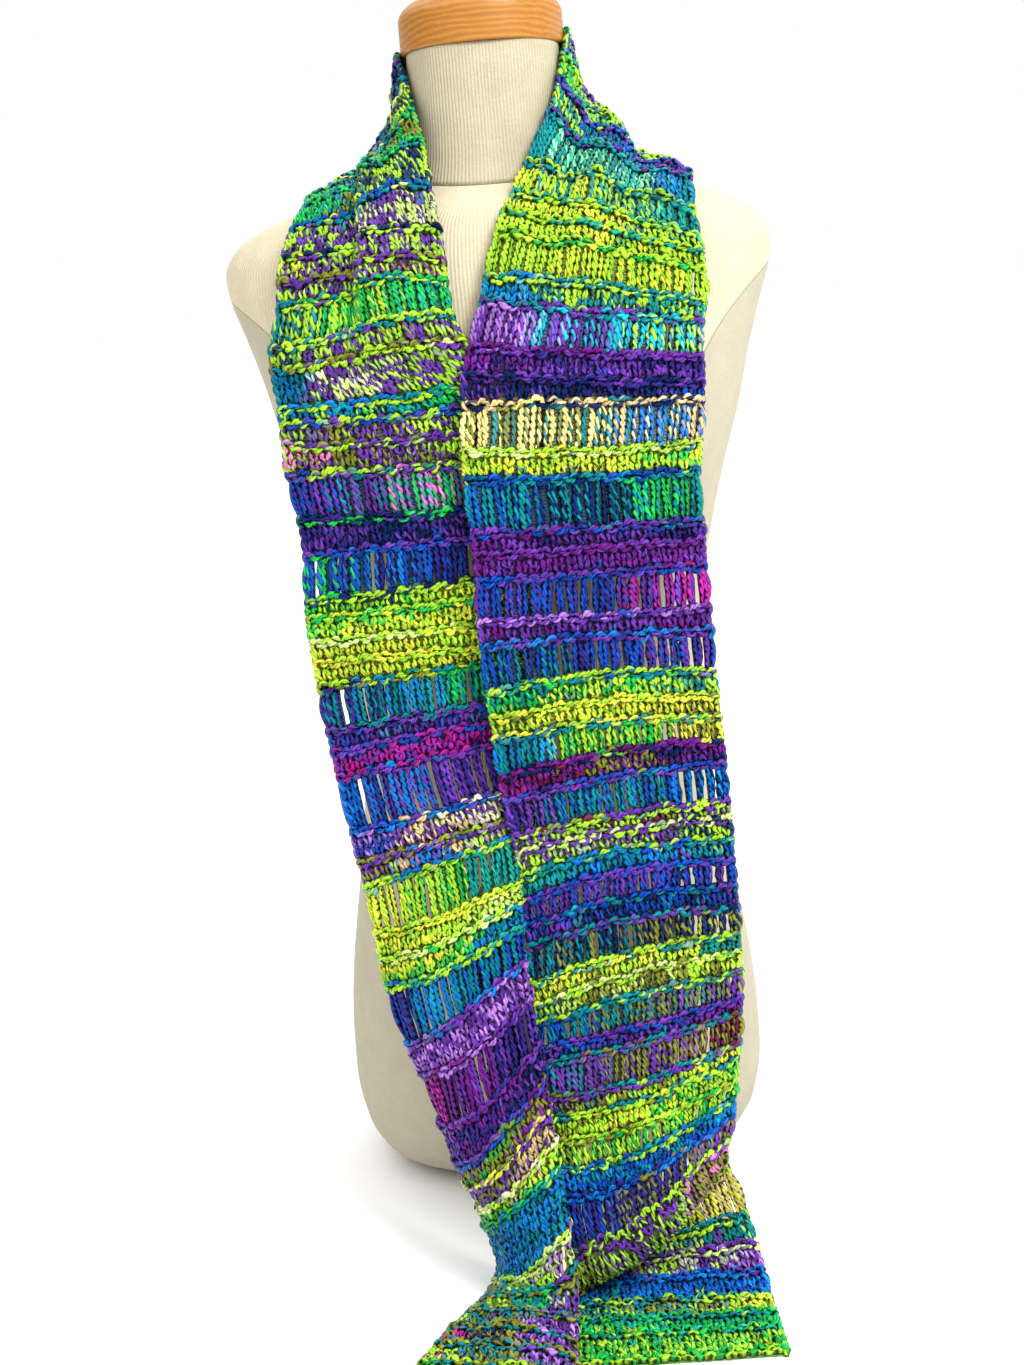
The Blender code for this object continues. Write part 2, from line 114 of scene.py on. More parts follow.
# Form sections: height, half width, front depth, back depth, tilt towards the front
torsoSections = numbersOf("""
0 107 54 80 0
3 120 67 92 0
10 134 82 103 0
24 145 96 110 0
50 153 108 116 0
100 155 113 118 0
150 151 111 114 0
200 143 106 104 0
250 134 100 91 0
300 128 96 80 0
345 126 96 73 0
390 128 101 71 0
440 132 110 75 0
486 141 120 80 0
520 150 125 84 0
556 161 123 88 0
597 171 114 92 0
631 181 103 94 0
655 188 94 92 0
674 187 87 87 0
688 175 82 81 0
699 154 77 76 0.03
707 130 73 71 0.06
716 98 67 62 0.13
726 62 60 52 0.236
""")
neckSections = numbersOf("""
726 61 59 51 0.236
736 56.5 55 50 0.17
750 53.5 53 50 0.09
770 52.4 52 51 0.03
802.2 52 52 52 0
""")

# A row for each station along a tail, from the back of the neck to the end: the outer selvedge, the inner
# edge, bow, gather, width taken by the pleat, angle of the turned flap (degrees) and its width. The right
# tail has no pleat and no flap.
rightStations = np.pad(numbersOf("""
0 88 688 0 57 802 -10 1
60 85 693 37 47 806 -10 1
106 61 704 54 22 811 -14 1
127 18 713 57 -4 811 -18 1
131 -22 712 53 -22 795 -15 2
130 -52 708 45 -41 768 -7 3
128 -70 705 26 -63 731 1 3
127 -81 696 13 -79 706 5 3
128 -88 675 2 -89 688 7 3
130 -95 658 -6 -102 664 8 2
130 -102 633 -17 -119 630 8 1
126 -107 608 -28 -131 598 8 0
124 -110 565 -31 -138 569 8 0
119 -112 524 -34 -144 533 8 0
119 -116 475 -31 -149 482 8 0
120 -122 423 -32 -152 437 8 0
121 -128 377 -30 -155 388 8 0
123 -134 326 -27 -158 342 8 0
125 -142 270 -20 -163 289 8 0
125 -149 230 -17.5 -166 238 8 0
124 -158 183 -17.5 -171 188 8 0
119 -167 144 -17 -181 142 8 1
113 -177 108 -13 -196 91 8 2
109 -184 90 -8 -213 53 9 2
105 -187 81 -5 -229 32 14 1
103.5 -188.5 75.5 -3 -237 17 18 0
103.5 -188.5 74 -3 -232 9.5 14 0
103.5 -188.5 72.5 -3 -212 8 8 0
104 -188.5 71 -3 -180 7 2 0
104 -186.5 69 -3 -170 4.4 0 0
105 -190.5 64 -3 -174 1.7 0 0
110 -198 51 -4 -181 1.3 0 0
116 -212 30 -6 -194 1.3 0 0
120 -232 12 -8 -216 1.3 0 0
122 -258 2.2 -8 -250 1.3 0 0
122.5 -303 1.3 -8 -301 1.3 0 0
"""), ((0, 0), (0, 3)))
leftStations = numbersOf("""
0 88 688 0 57 802 -10 1 0 0 0
-60 85 693 -37 47 803 -10 1 0 0 0
-104 61 704 -54 22 806 -14 1 0 0 0
-122 18 713 -57 -4 803 -18 1 0 0 0
-126 -22 713 -53 -22 785 -18 2 5 0 0
-124 -52 710 -48 -40 762 -8 2 15 0 0
-121 -74 707 -43 -62 734 3 2 26 0 0
-127 -83 700 -41 -80 709 6 1 30 0 0
-135 -90 684 -37 -95 681 8 0 30 0 0
-141 -98 666 -35 -108 656 8 0 28 0 0
-144 -105 643 -34 -116 639 8 0 22 0 0
-151 -110 611 -40 -122 604 8 0 10 0 20
-149 -112 580 -43 -124 572 7 0 0 0 45
-148 -114 542 -40 -127 535 6 0 0 0 45
-142 -116 496 -38 -131 488 6 0 0 0 45
-144 -121 444 -39 -134 438 6 0 0 0 45
-140 -127 397 -38 -139 391 6 0 0 0 45
-134 -134 347 -40 -145 343 6 0 0 0 45
-127 -143 298 -27 -160 291 8 0 0 90 45
-119 -153 258 -27 -174 262 9 0 0 160 46
-113 -163 209 -29 -190 228 10 0 0 180 50
-103 -173 170 -26 -205 190 12 0 0 180 52
-88 -183 131 -23 -222 149 14 0 0 180 55
-76 -190 90 -20 -236 111 16 0 0 180 58
-63 -187 55 -18 -246 80 15 0 0 180 60
-55 -186 26 -17 -257 54 12 0 0 180 60
-52 -196 7 -15 -270 36 10 0 0 180 58
-62 -219 1.5 -14 -288 24 9 0 0 180 55
-83 -250 1.3 -14 -309 19 7 0 0 180 50
-103 -284 1.3 -15 -334 14 5 0 0 180 47
-122 -318 1.3 -17 -360 13.3 3 0 0 180 45
""")


# Smooth curve through the rows of a table: cubic pieces whose slopes are the table's own gradient.
def through(places, values, at):
    slope = np.gradient(values, places, axis=0)
    i = np.clip(np.searchsorted(places, at, "right") - 1, 0, len(places) - 2)
    span = (places[i + 1] - places[i])[:, None]
    t = ((at - places[i]) / span[:, 0])[:, None]
    return (
        (1 + 2 * t) * (1 - t) ** 2 * values[i]
        + t * (1 - t) ** 2 * span * slope[i]
        + t * t * (3 - 2 * t) * values[i + 1]
        + t * t * (t - 1) * span * slope[i + 1]
    )


def unit(vectors):
    return vectors / np.maximum(np.linalg.norm(vectors, axis=-1, keepdims=True), 1e-12)


# 3t squared minus 2t cubed, between 0 and 1.
def smoothStep(t):
    t = np.clip(t, 0, 1)
    return t * t * (3 - 2 * t)


# Distance run along each line of points, from 0.
def runAlong(points):
    steps = np.linalg.norm(np.diff(points, axis=-2), axis=-1)
    return np.concatenate([np.zeros((*steps.shape[:-1], 1)), np.cumsum(steps, axis=-1)], axis=-1)


formSize = {
    "power": 2.3,  # of the superellipse of the sections
    "sides": 160,
    "rowStep": 5 * mm,
    "seamDepth": 0.7 * mm,
    # Painted shade: the jersey's colour is multiplied by these factors, and the neck's is darkened to stand
    # in for shade.
    "bodyPaintedShade": 1.0,
    "neckPaintedShade": 0.79,
    "capSides": 96,
    "capRadius": 55.5 * mm,
    "capEdge": 2 * mm,  # rounding of its lower edge
    "capBottom": 802.5 * mm,
    "capShoulder": 823 * mm,  # where its side starts to round over
    "capTop": 840 * mm,
    "capRound": 33 * mm,  # how far in the rounding reaches
}
sectionScale = np.array([mm, mm, mm, mm, 1])
formTable = np.concatenate([torsoSections, neckSections[1:]]) * sectionScale


# Superellipse rings: x is the half width times the cosine to 2/power, y the depth times the sine to
# 2/power, and z the height plus tilt times y.
def formRings(sections, heights):
    table = through(sections[:, 0] * mm, sections * sectionScale, heights)
    height, halfWidth, front, back, tilt = (table[:, i : i + 1] for i in range(5))
    turn = np.linspace(0, 2 * np.pi, formSize["sides"] + 1)[None, :] - np.pi / 2
    power = 2 / formSize["power"]
    across = np.sign(np.cos(turn)) * np.abs(np.cos(turn)) ** power
    deep = np.sign(np.sin(turn)) * np.abs(np.sin(turn)) ** power
    x = halfWidth * across
    y = np.where(deep < 0, front, back) * deep
    return np.stack([x, y, height + tilt * y], axis=-1)


# How far out a point lies, as a share of the form's section there: the superellipse's own norm, 1 on it.
def formShare(points):
    x, y, z = points[:, 0], points[:, 1], points[:, 2]
    height = z
    for _ in range(2):
        row = through(formTable[:, 0], formTable, np.clip(height, 0, formTable[-1, 0]))
        height = z - row[:, 4] * y
    row = through(formTable[:, 0], formTable, np.clip(height, 0, formTable[-1, 0]))
    depth = np.where(y < 0, row[:, 2], row[:, 3])
    power = formSize["power"]
    return (np.abs(x / row[:, 1]) ** power + np.abs(y / depth) ** power) ** (1 / power)


# Points moved out along the gradient of formShare, by the gap less their distance, where that is positive.
# Only points under nearShare are looked at, and each of the three rounds moves them by maxPush at most.
def clearOfForm(points, gap):
    probe, nearShare, maxPush = 0.2 * mm, 1.12, 12 * mm
    flat = points.reshape(-1, 3).copy()
    for _ in range(3):
        share = formShare(flat)
        near = np.flatnonzero(share < nearShare)
        if not len(near):
            break
        spots = flat[near]
        here = share[near]
        slope = np.stack([(formShare(spots + probe * way) - here) / probe for way in np.eye(3)], axis=1)
        steep = np.maximum(np.linalg.norm(slope, axis=1), 1.0)
        distance = (here - 1) / steep
        push = np.clip(gap - distance, 0, maxPush)
        flat[near] += slope / steep[:, None] * push[:, None]
    return flat.reshape(points.shape)


# A tail's table in metres and radians, with the distance of each row along the middle of the cloth, how its
# rows lean, and the share of the width that shows from the front.
def tailOf(side, stations, lean):
    table = stations * np.array([mm] * 9 + [math.pi / 180, mm])
    places = runAlong((table[:, 0:3] + table[:, 3:6]) / 2)
    facing, limit, seed = {"right": (1, 1.0, 3), "left": (-1, 0.72, 8)}[side]
    return {"places": places, "table": table, "facing": facing, "side": side, "end": places[-1],
            "limit": limit, "seed": seed, "lean": np.array(lean, float) * mm}


# Height of the soft folds: each is a bell across the cloth whose middle strays sideways, times one half wave
# of a sine along it.
def relief(tail, along, across):
    x = across * clothSize["width"]
    total = np.zeros(len(along))
    for share, start, stop, half, height, stray in folds[tail["side"]]:
        t = (along / mm - start) / (stop - start)
        middle = share * clothSize["width"] + stray * mm * t
        wave = np.where((t > 0) & (t < 1), height * mm * np.sin(np.pi * np.clip(t, 0, 1)) ** 0.8, 0)
        total += wave * np.exp(-(((x - middle) / (half * mm)) ** 2))
    return total + ripple(x, along, 0.9 * mm, tail["seed"] + 20) * smoothStep(along / (80 * mm))


# Middle surface at distances along the tail and shares of its width, one point for each pair.
# Each row runs on a chord from the outer selvedge to the inner edge. It bows out of the chord, rises in
# gathers, laps over itself in a pleat, and past the inner edge its flap turns behind round the fold radius.
def rawCloth(tail, along, across):
    places, table = tail["places"], tail["table"]
    step = 0.1 * mm
    near = (np.clip(along + k * step, 0, tail["end"]) for k in (-1, 0, 1))
    before, row, after = (through(places, table, at) for at in near)
    outer, inner = row[:, 0:3], row[:, 3:6]
    bow, gather, lap, turn, flap = (row[:, i] for i in range(6, 11))
    lengthWay = unit(after[:, 0:3] + after[:, 3:6] - before[:, 0:3] - before[:, 3:6])
    chord = np.linalg.norm(inner - outer, axis=1)
    rowWay = (inner - outer) / chord[:, None]
    outWay = unit(np.cross(rowWay, lengthWay)) * tail["facing"]

    width = clothSize["width"]
    radius = clothSize["foldRadius"]
    foldLine = 1 - flap / width
    share = np.clip(across / foldLine, 0, 1)
    taken = lap / width
    lapped = smoothStep((share - clothSize["lapStart"]) / clothSize["lapSpan"])
    onChord = (share - taken * lapped) / (1 - taken) * chord
    waves = gather * np.sin(2 * np.pi * clothSize["gatherWaves"] * share)
    lift = (
        4 * bow * share * (1 - share)
        + waves * np.sqrt(np.sin(np.pi * share).clip(0))
        + clothSize["lapRise"] * np.clip(taken / clothSize["lapFull"], 0, 1) * (lapped - share)
        + relief(tail, along, across)
    )
    past = np.clip(across - foldLine, 0, None) * width
    bend = np.minimum(past / radius, turn)
    beyond = np.clip(past - turn * radius, 0, None)
    onChord = onChord + radius * np.sin(bend) + beyond * np.cos(turn)
    lift = lift - radius * (1 - np.cos(bend)) - beyond * np.sin(turn)
    return outer + onChord[:, None] * rowWay + lift[:, None] * outWay


# The middle surface, clear of the form and of the floor.
def middleCloth(tail, along, across):
    points = rawCloth(tail, np.clip(along, 0, tail["end"]), np.clip(across, 0, 1))
    points = clearOfForm(points, clothSize["formGap"] + clothSize["wall"] / 2)
    points[:, 2] = np.maximum(points[:, 2], clothSize["wall"] / 2)
    return points


# Middle surface with its unit normal, by central differences. Past a selvedge or an end it runs straight on.
def clothFrame(tail, along, across):
    points = middleCloth(tail, along, across)
    step = 0.5 * mm
    share = step / clothSize["width"]
    mid = np.clip(across, share, 1 - share)
    midAlong = np.clip(along, step, tail["end"] - step)
    wide = unit(middleCloth(tail, midAlong, mid + share) - middleCloth(tail, midAlong, mid - share))
    down = unit(middleCloth(tail, midAlong + step, mid) - middleCloth(tail, midAlong - step, mid))
    normal = unit(np.cross(wide, down)) * tail["facing"]
    past = (across - np.clip(across, 0, 1)) * clothSize["width"]
    pastEnd = along - np.clip(along, 0, tail["end"])
    return points + wide * past[:, None] + down * pastEnd[:, None], normal


# A mesh from arrays of points and quads, with one uv for each corner and one colour for each point.
def makeMesh(name, points, quads, material, uvs, uvName, colours=None):
    mesh = bpy.data.meshes.new(name)
    mesh.vertices.add(len(points))
    mesh.vertices.foreach_set("co", np.ascontiguousarray(points, np.float32).ravel())
    mesh.loops.add(quads.size)
    mesh.loops.foreach_set("vertex_index", np.ascontiguousarray(quads, np.int32).ravel())
    mesh.polygons.add(len(quads))
    mesh.polygons.foreach_set("loop_start", np.arange(0, quads.size, 4, dtype=np.int32))
    mesh.polygons.foreach_set("use_smooth", np.full(len(quads), True))
    layer = mesh.uv_layers.new(name=uvName)
    layer.uv.foreach_set("vector", np.ascontiguousarray(uvs, np.float32).ravel())
    for label, values in (colours or {}).items():
        attribute = mesh.color_attributes.new(label, "FLOAT_COLOR", "POINT")
        full = np.concatenate([values, np.ones((len(values), 1))], axis=1)
        attribute.data.foreach_set("color", np.ascontiguousarray(full, np.float32).ravel())
    mesh.materials.append(material)
    mesh.validate()
    mesh.update()
    piece = bpy.data.objects.new(name, mesh)
    bpy.context.scene.collection.objects.link(piece)
    return piece


def newMaterial(name, roughness):
    material = bpy.data.materials.new(name)
    material.use_nodes = True
    shader = material.node_tree.nodes["Principled BSDF"]
    shader.inputs["Roughness"].default_value = roughness
    return material, material.node_tree, shader


# A labelled node, with its settings, and its inputs set to a value or linked to a socket.
def addNode(tree, kind, label, inputs=None, **settings):
    node = tree.nodes.new("ShaderNode" + kind)
    node.label = label
    for key, value in settings.items():
        setattr(node, key, value)
    for key, value in (inputs or {}).items():
        if isinstance(value, bpy.types.NodeSocket):
            tree.links.new(value, node.inputs[key])
        else:
            node.inputs[key].default_value = value
    return node


def mathNode(tree, operation, label, *values):
    return addNode(tree, "Math", label, dict(enumerate(values)), operation=operation).outputs[0]


def mixColour(tree, label, factor, first, second, blend="MIX"):
    inputs = {0: factor, 6: first, 7: second}
    return addNode(tree, "Mix", label, inputs, data_type="RGBA", blend_type=blend).outputs[2]


# A value's run from low to high brought to the run from start to stop.
def ramp(tree, label, value, low, high, start=0.0, stop=1.0):
    return addNode(tree, "MapRange", label, {0: value, 1: low, 2: high, 3: start, 4: stop}).outputs[0]


def noise(tree, label, place, scale, detail, roughness=0.5):
    inputs = {"Vector": place, "Scale": scale, "Detail": detail, "Roughness": roughness}
    return addNode(tree, "TexNoise", label, inputs).outputs[0]


def objectPlace(tree):
    return addNode(tree, "TexCoord", "place").outputs["Object"]


# The two ply colours that a mesh carries at its points.
def plySockets(tree):
    names = (("first ply", "plyA"), ("second ply", "plyB"))
    return [addNode(tree, "VertexColor", label, layer_name=layer).outputs[0] for label, layer in names]


# Base colour and bump into the material's shader.
def finish(tree, shader, colour, label, strength, distance, height):
    bump = addNode(tree, "Bump", label, {"Strength": strength, "Distance": distance, "Height": height})
    tree.links.new(colour, shader.inputs["Base Color"])
    tree.links.new(bump.outputs[0], shader.inputs["Normal"])


# Two plies wound round each other, drawn on the yarn's round surface, in yarn radii.
# Side on, a point is at x = sin(turn around). The first ply's middle is at reach times minus the sine of the
# turns along, and stands reach times their cosine high; the second is opposite. A ply rises by sqrt(thick
# squared - offset squared) over its middle, and the higher of the two shows. Drop is how far that lies under
# the round yarn, sqrt(1 - x squared). Crest is 1 along the top of a ply and 0 at its sides.
def twistGroup():
    reach, thick = 0.43, 0.57
    tree = bpy.data.node_groups.new("ply twist", "ShaderNodeTree")
    sockets = {"INPUT": ("Along", "Around"), "OUTPUT": ("First", "Height", "Drop", "Crest", "Fibre")}
    for way, labels in sockets.items():
        for label in labels:
            tree.interface.new_socket(label, in_out=way, socket_type="NodeSocketFloat")
    given = tree.nodes.new("NodeGroupInput").outputs
    result = tree.nodes.new("NodeGroupOutput").inputs
    calc = partial(mathNode, tree)
    link = tree.links.new

    angle = calc("MULTIPLY", "angle along", given["Along"], 2 * math.pi)
    side = calc("MULTIPLY", "sideways", calc("SINE", "sine", angle), reach)
    front = calc("MULTIPLY", "forwards", calc("COSINE", "cosine", angle), reach)
    x = calc("SINE", "x", calc("MULTIPLY", "angle around", given["Around"], 2 * math.pi))
    heights, rises = [], []
    for label, place, stands in (("first", "ADD", 1.0), ("second", "SUBTRACT", -1.0)):
        offset = calc(place, f"{label} offset", x, side)
        inside = calc("SUBTRACT", f"inside {label}", thick**2, calc("MULTIPLY", "squared", offset, offset))
        rise = calc("SQRT", f"{label} rise", calc("MAXIMUM", "within", inside, 0.0))
        level = calc("MULTIPLY_ADD", f"{label} level", front, stands, rise)
        outside = calc("MINIMUM", "beyond", inside, 0.0)
        heights.append(calc("MULTIPLY_ADD", f"{label} height", outside, 3.0, level))
        rises.append(rise)
    top = calc("MAXIMUM", "higher ply", *heights)
    shows = calc("GREATER_THAN", "first ply shows", *heights)
    link(shows, result["First"])
    more = calc("SUBTRACT", "first over second", rises[0], rises[1])
    crest = calc("MULTIPLY_ADD", "rise of what shows", shows, more, rises[1])
    link(calc("DIVIDE", "crest", crest, thick), result["Crest"])
    rest = calc("SUBTRACT", "rest", 1.0, calc("MULTIPLY", "x squared", x, x))
    cosine = calc("SQRT", "round", rest)
    link(calc("MULTIPLY_ADD", "over the round", cosine, -0.8, top), result["Height"])
    link(calc("SUBTRACT", "under the round", cosine, top), result["Drop"])
    fine = calc("MULTIPLY", "fine across", x, 5.0)
    spot = addNode(tree, "CombineXYZ", "fibre place", {0: fine, 1: given["Along"], 2: top}).outputs[0]
    link(noise(tree, "fibres", spot, 1.6, 3.0, 0.6), result["Fibre"])
    return tree


# Twisted two-ply wool: the two ply colours, with painted shade down between them and a painted highlight
# along each ply's top, streaked by fibres, with a silky shine.
def yarnMaterial():
    look = {
        "roughness": 0.36,
        "shine": 0.9,
        "between": 0.20,  # share of the colour left deep between plies, as painted shade
        "streak": 0.50,
        "mottle": 0.40,
        "crest": 0.60,  # painted highlight: how much lighter a ply is along its top than at its sides
        "bump": 0.9,
    }
    material, tree, shader = newMaterial("two-ply wool", look["roughness"])
    shader.inputs["Specular IOR Level"].default_value = look["shine"]
    uv = addNode(tree, "UVMap", "yarn", uv_map="yarn").outputs[0]
    along, around, _ = addNode(tree, "SeparateXYZ", "along and around", {0: uv}).outputs
    place = objectPlace(tree)
    uneven = noise(tree, "uneven twist", place, 70.0, 1.0)
    along = mathNode(tree, "MULTIPLY_ADD", "loose twist", uneven, 0.8, along)
    plies = addNode(tree, "Group", "plies", node_tree=twistGroup())
    tree.links.new(along, plies.inputs["Along"])
    tree.links.new(around, plies.inputs["Around"])
    plies = plies.outputs
    first, second = plySockets(tree)
    colour = mixColour(tree, "ply colour", plies["First"], second, first)
    patch = noise(tree, "dye patches", place, 240.0, 2.0)
    # The crest change is a painted highlight along the top of each ply; streak and mottle vary the yarn's own
    # colour.
    changes = (
        ("streak", plies["Fibre"], 0.3, 0.7),
        ("mottle", patch, 0.3, 0.7),
        ("crest", plies["Crest"], 0.2, 1.0),
    )
    for label, source, low, high in changes:
        share = ramp(tree, label, source, low, high, 1 - look[label] / 2, 1 + look[label] / 2)
        colour = mixColour(tree, label, 1.0, colour, share, "MULTIPLY")
    # Painted shade down between the plies, where the yarn's surface lies deep under the round.
    deep = ramp(tree, "shade between plies", plies["Drop"], 0.40, 1.1, 1.0, look["between"])
    colour = mixColour(tree, "shaded between plies", 1.0, colour, deep, "MULTIPLY")
    tree.links.new(colour, shader.inputs["Specular Tint"])
    height = mathNode(tree, "MULTIPLY_ADD", "height", plies["Fibre"], 0.15, plies["Height"])
    finish(tree, shader, colour, "plies and fibres", look["bump"], knitSize["yarnRadius"], height)
    return material


knitSize = {
    "stitches": 19,
    "yarnRadius": 1.92 * mm,
    "twistPitch": 9.4 * mm,  # length of one whole turn of the plies
    "ridgeHeight": 6.0 * mm,
    "knitRow": 6.4 * mm,  # height of a row of plain stitches
    "sides": 6,
    "ripple": 1.1 * mm,  # how far rows stray from their course
    "ridgeStray": 0.30,  # share of a ridge's stitches in the colours of the row below it
}


# The lines of a plan, the first word of each as a number.
def planOf(text):
    return [(int(at), *words) for at, *words in wordsOf(text)]


# The knitting, from the back of the neck down each tail: where a garter ridge crosses the middle of the
# cloth (mm), its colours, what is worked below it, and the colours of that at the left, in the middle and
# at the right of what shows from the front. Two names joined by + are the two plies. Below a ridge there is
# plain knitting, or a dropped row of long strands that lie close (drop) or stand apart (open).
rightPlan = planOf("""
22 teal+blue knit teal+green teal+lime teal+green
46 violet+lime drop violet+blue violet+lime violet+blue
70 magenta+violet knit violet+magenta violet+lime violet+magenta
94 violet+blue knit lime+violet violet+pink violet+magenta
118 lime+olive knit lime+green lime+indigo violet+lime
142 lime+violet knit lime+blue lime+violet violet+lime
168 teal+lime knit green+lime lime+teal lime+blue
192 blue+violet knit lime+teal blue+teal navy+violet
212 violet+teal drop teal+sea sea+mint teal+azure
238 lime+teal drop lime+yellow lime+teal teal+sea
257 sea+lime knit lime+yellow lime+yellow lime+teal
271 lime+sea knit lime+lime lime+yellow lime+lime
285 lime+green drop lime+lime lime+yellow lime+lime
310 teal+lime knit teal+azure teal+lime sea+lime
327 violet+teal drop violet+lilac violet+cyan cyan+lime
352 purple+violet knit violet+purple violet+indigo violet+indigo
368 violet+indigo knit navy+violet navy+indigo navy+blue
381 beige+navy drop straw+olive straw+teal beige+azure
411 lime+pale knit lime+yellow lime+yellow lime+green
428 blue+teal drop teal+blue teal+navy green+teal
460 violet+blue knit purple+violet violet+indigo indigo+violet
473 violet+purple knit purple+violet purple+violet violet+purple
489 violet+blue open blue+violet indigo+blue magenta+violet
516 lilac+violet knit violet+purple violet+indigo violet+purple
529 azure+violet open blue+teal blue+indigo blue+violet
554 lime+teal knit teal+green lime+green lime+teal
571 lime+yellow knit lime+olive yellow+lime olive+yellow
585 yellow+teal open teal+azure lime+green yellow+olive
605 purple+navy knit purple+maroon purple+olive navy+purple
621 blue+violet open indigo+violet blue+teal azure+navy
647 violet+lime knit lime+violet maroon+lime lime+violet
657 pale+violet knit lime+violet violet+lime lime+navy
670 lime+teal knit teal+sea teal+azure teal+blue
684 blue+violet open blue+violet violet+blue navy+blue
702 blue+teal knit violet+blue blue+navy navy+violet
717 teal+violet open teal+navy navy+olive navy+olive
739 lime+teal knit lime+yellow lime+yellow sea+teal
753 pale+lime knit lime+teal pale+olive lime+olive
768 lime+teal open teal+blue teal+olive olive+violet
790 violet+blue knit violet+blue violet+indigo violet+purple
801 teal+violet drop violet+teal olive+violet maroon+olive
826 teal+violet knit olive+violet lime+olive lime+yellow
839 teal+lime knit lime+olive lime+yellow lime+green
855 lime+olive open lime+olive lime+green green+lime
872 teal+lime knit blue+azure blue+teal azure+teal
889 blue+azure open indigo+blue indigo+olive olive+violet
912 lime+violet knit lime+olive lime+violet olive+pink
930 lime+olive knit lime+olive lime+teal lime+yellow
963 lime+beige open lime+green yellow+olive yellow+beige
981 teal+lime knit sea+lime teal+lime teal+sea
994 violet+pale knit violet+olive violet+lime violet+lilac
1010 blue+azure knit blue+teal azure+blue blue+azure
1030 teal+lime knit lime+teal teal+olive yellow+lime
1046 green+teal knit lime+green green+sea green+teal
1062 green+sea knit green+lime green+lime lime+green
""")
leftPlan = planOf("""
22 teal+blue knit teal+green teal+lime teal+green
46 violet+lime knit violet+blue violet+lime violet+blue
70 blue+teal drop teal+blue teal+blue teal+violet
94 violet+teal knit violet+blue teal+violet blue+lime
118 lime+blue knit violet+lime teal+blue teal+lime
142 navy+violet knit navy+pale green+teal teal+navy
166 blue+pale knit violet+pale teal+green lime+navy
190 green+teal knit green+sea teal+navy green+olive
212 green+teal knit green+sea teal+olive navy+lime
238 blue+teal knit violet+lime violet+lime violet+pale
264 navy+lime knit yellow+violet lime+violet violet+lime
281 olive+violet knit violet+lime violet+lime purple+lime
295 teal+lime drop teal+lime green+lime green+sea
319 lime+teal knit navy+lime violet+lime lime+violet
334 olive+lime knit azure+teal pale+violet lime+violet
361 teal+lime knit azure+teal azure+teal teal+green
372 lime+blue knit lime+violet violet+olive violet+lime
387 violet+lime knit lime+pink olive+violet lime+violet
405 lime+violet drop blue+violet teal+violet green+pink
435 navy+green knit indigo+violet indigo+navy navy+violet
454 violet+blue open blue+green indigo+azure blue+indigo
483 navy+lime knit green+lime lime+green lime+yellow
495 lime+green knit lime+green lime+yellow lime+yellow
511 lime+pale knit yellow+lime lime+yellow lime+yellow
525 yellow+lime knit yellow+lime lime+yellow lime+yellow
538 lime+olive open teal+indigo teal+azure teal+green
566 teal+violet knit blue+violet violet+indigo violet+blue
579 violet+blue knit violet+magenta violet+magenta magenta+purple
595 magenta+violet open azure+blue azure+violet indigo+violet
631 blue+azure knit blue+lilac violet+beige cream+violet
650 olive+violet knit violet+olive beige+azure lime+lilac
664 azure+lime open lime+yellow lime+green teal+sea
699 lime+yellow knit lime+yellow lime+yellow lime+pale
715 lime+pale knit lime+yellow green+lime teal+azure
733 sea+lime open indigo+blue azure+teal blue+teal
763 azure+violet knit lilac+violet violet+lilac violet+lilac
788 violet+lilac open purple+magenta purple+violet indigo+violet
822 violet+purple knit indigo+violet indigo+purple navy+violet
845 violet+blue knit olive+violet green+olive purple+olive
862 yellow+violet knit cream+violet violet+olive beige+violet
879 cream+lime knit lime+teal green+lime beige+lime
892 green+teal knit teal+azure azure+teal teal+azure
938 lime+pale knit teal+olive lime+teal lilac+pale
956 teal+olive knit olive+lime teal+green violet+shell
972 olive+teal knit lime+teal olive+teal violet+lilac
990 olive+teal knit magenta+olive olive+navy violet+lilac
1006 olive+teal knit lime+magenta olive+teal lilac+violet
1024 lime+olive knit lime+green olive+teal violet+lilac
1042 lime+green knit lime+green lime+teal violet+teal
""")
droppedKinds = ("drop", "open")

# How rows lean: distance along the middle (mm), and how much further along the row is at the outer selvedge
# and at the inner limit of what shows
rightLean = [
    (0, 0, 0), (120, 6, -8), (200, 12, -15), (260, 15, -15), (310, 15, -14), (330, 13, -18),
    (368, 6, -16), (381, 2, -4), (411, -3, -3), (460, 0, 0), (516, -2, 4), (554, 4, 11), (585, 3, 12),
    (605, -3, 19), (650, -6, 18), (684, -3, 21), (717, 1, 17), (745, -4, 22), (768, -6, 18),
    (790, -11, 10), (826, -14, 3), (855, -15, -3), (889, -16, -10), (920, -12, -8), (960, -4, -2),
    (1000, 0, 0), (1082, 0, 0),
]
leftLean = [
    (0, 0, 0), (120, 5, -5), (200, 6, -7), (264, 7, -8), (295, 6, -7), (320, 10, -7), (361, 6, -5),
    (387, 4, -4), (435, 4, -3), (454, 10, -4), (483, 9, -6), (525, 7, -3), (540, 11, -6), (595, 13, -7),
    (631, 18, -11), (664, 18, -15), (699, 9, -16), (733, 7, -16), (763, 19, -22), (788, 15, -23),
    (845, 15, -33), (866, 18, -28), (892, 20, -22), (938, 18, -30), (980, 8, -14), (1059, 0, 0),
]

# Wide gaps in open rows: the ridge above, and the place as a share of the width
wideGaps = {
    "right": [
        (585, 0.21), (489, 0.21), (621, 0.21), (529, 0.21), (684, 0.1), (717, 0.1), (621, 0.1),
        (529, 0.1), (621, 0.16), (585, 0.26), (717, 0.05), (684, 0.05), (855, 0.05), (489, 0.05),
    ],
    "left": [
        (733, 0.21), (538, 0.1), (664, 0.1), (788, 0.26), (733, 0.1), (595, 0.1), (664, 0.16),
        (595, 0.47),
    ],
}

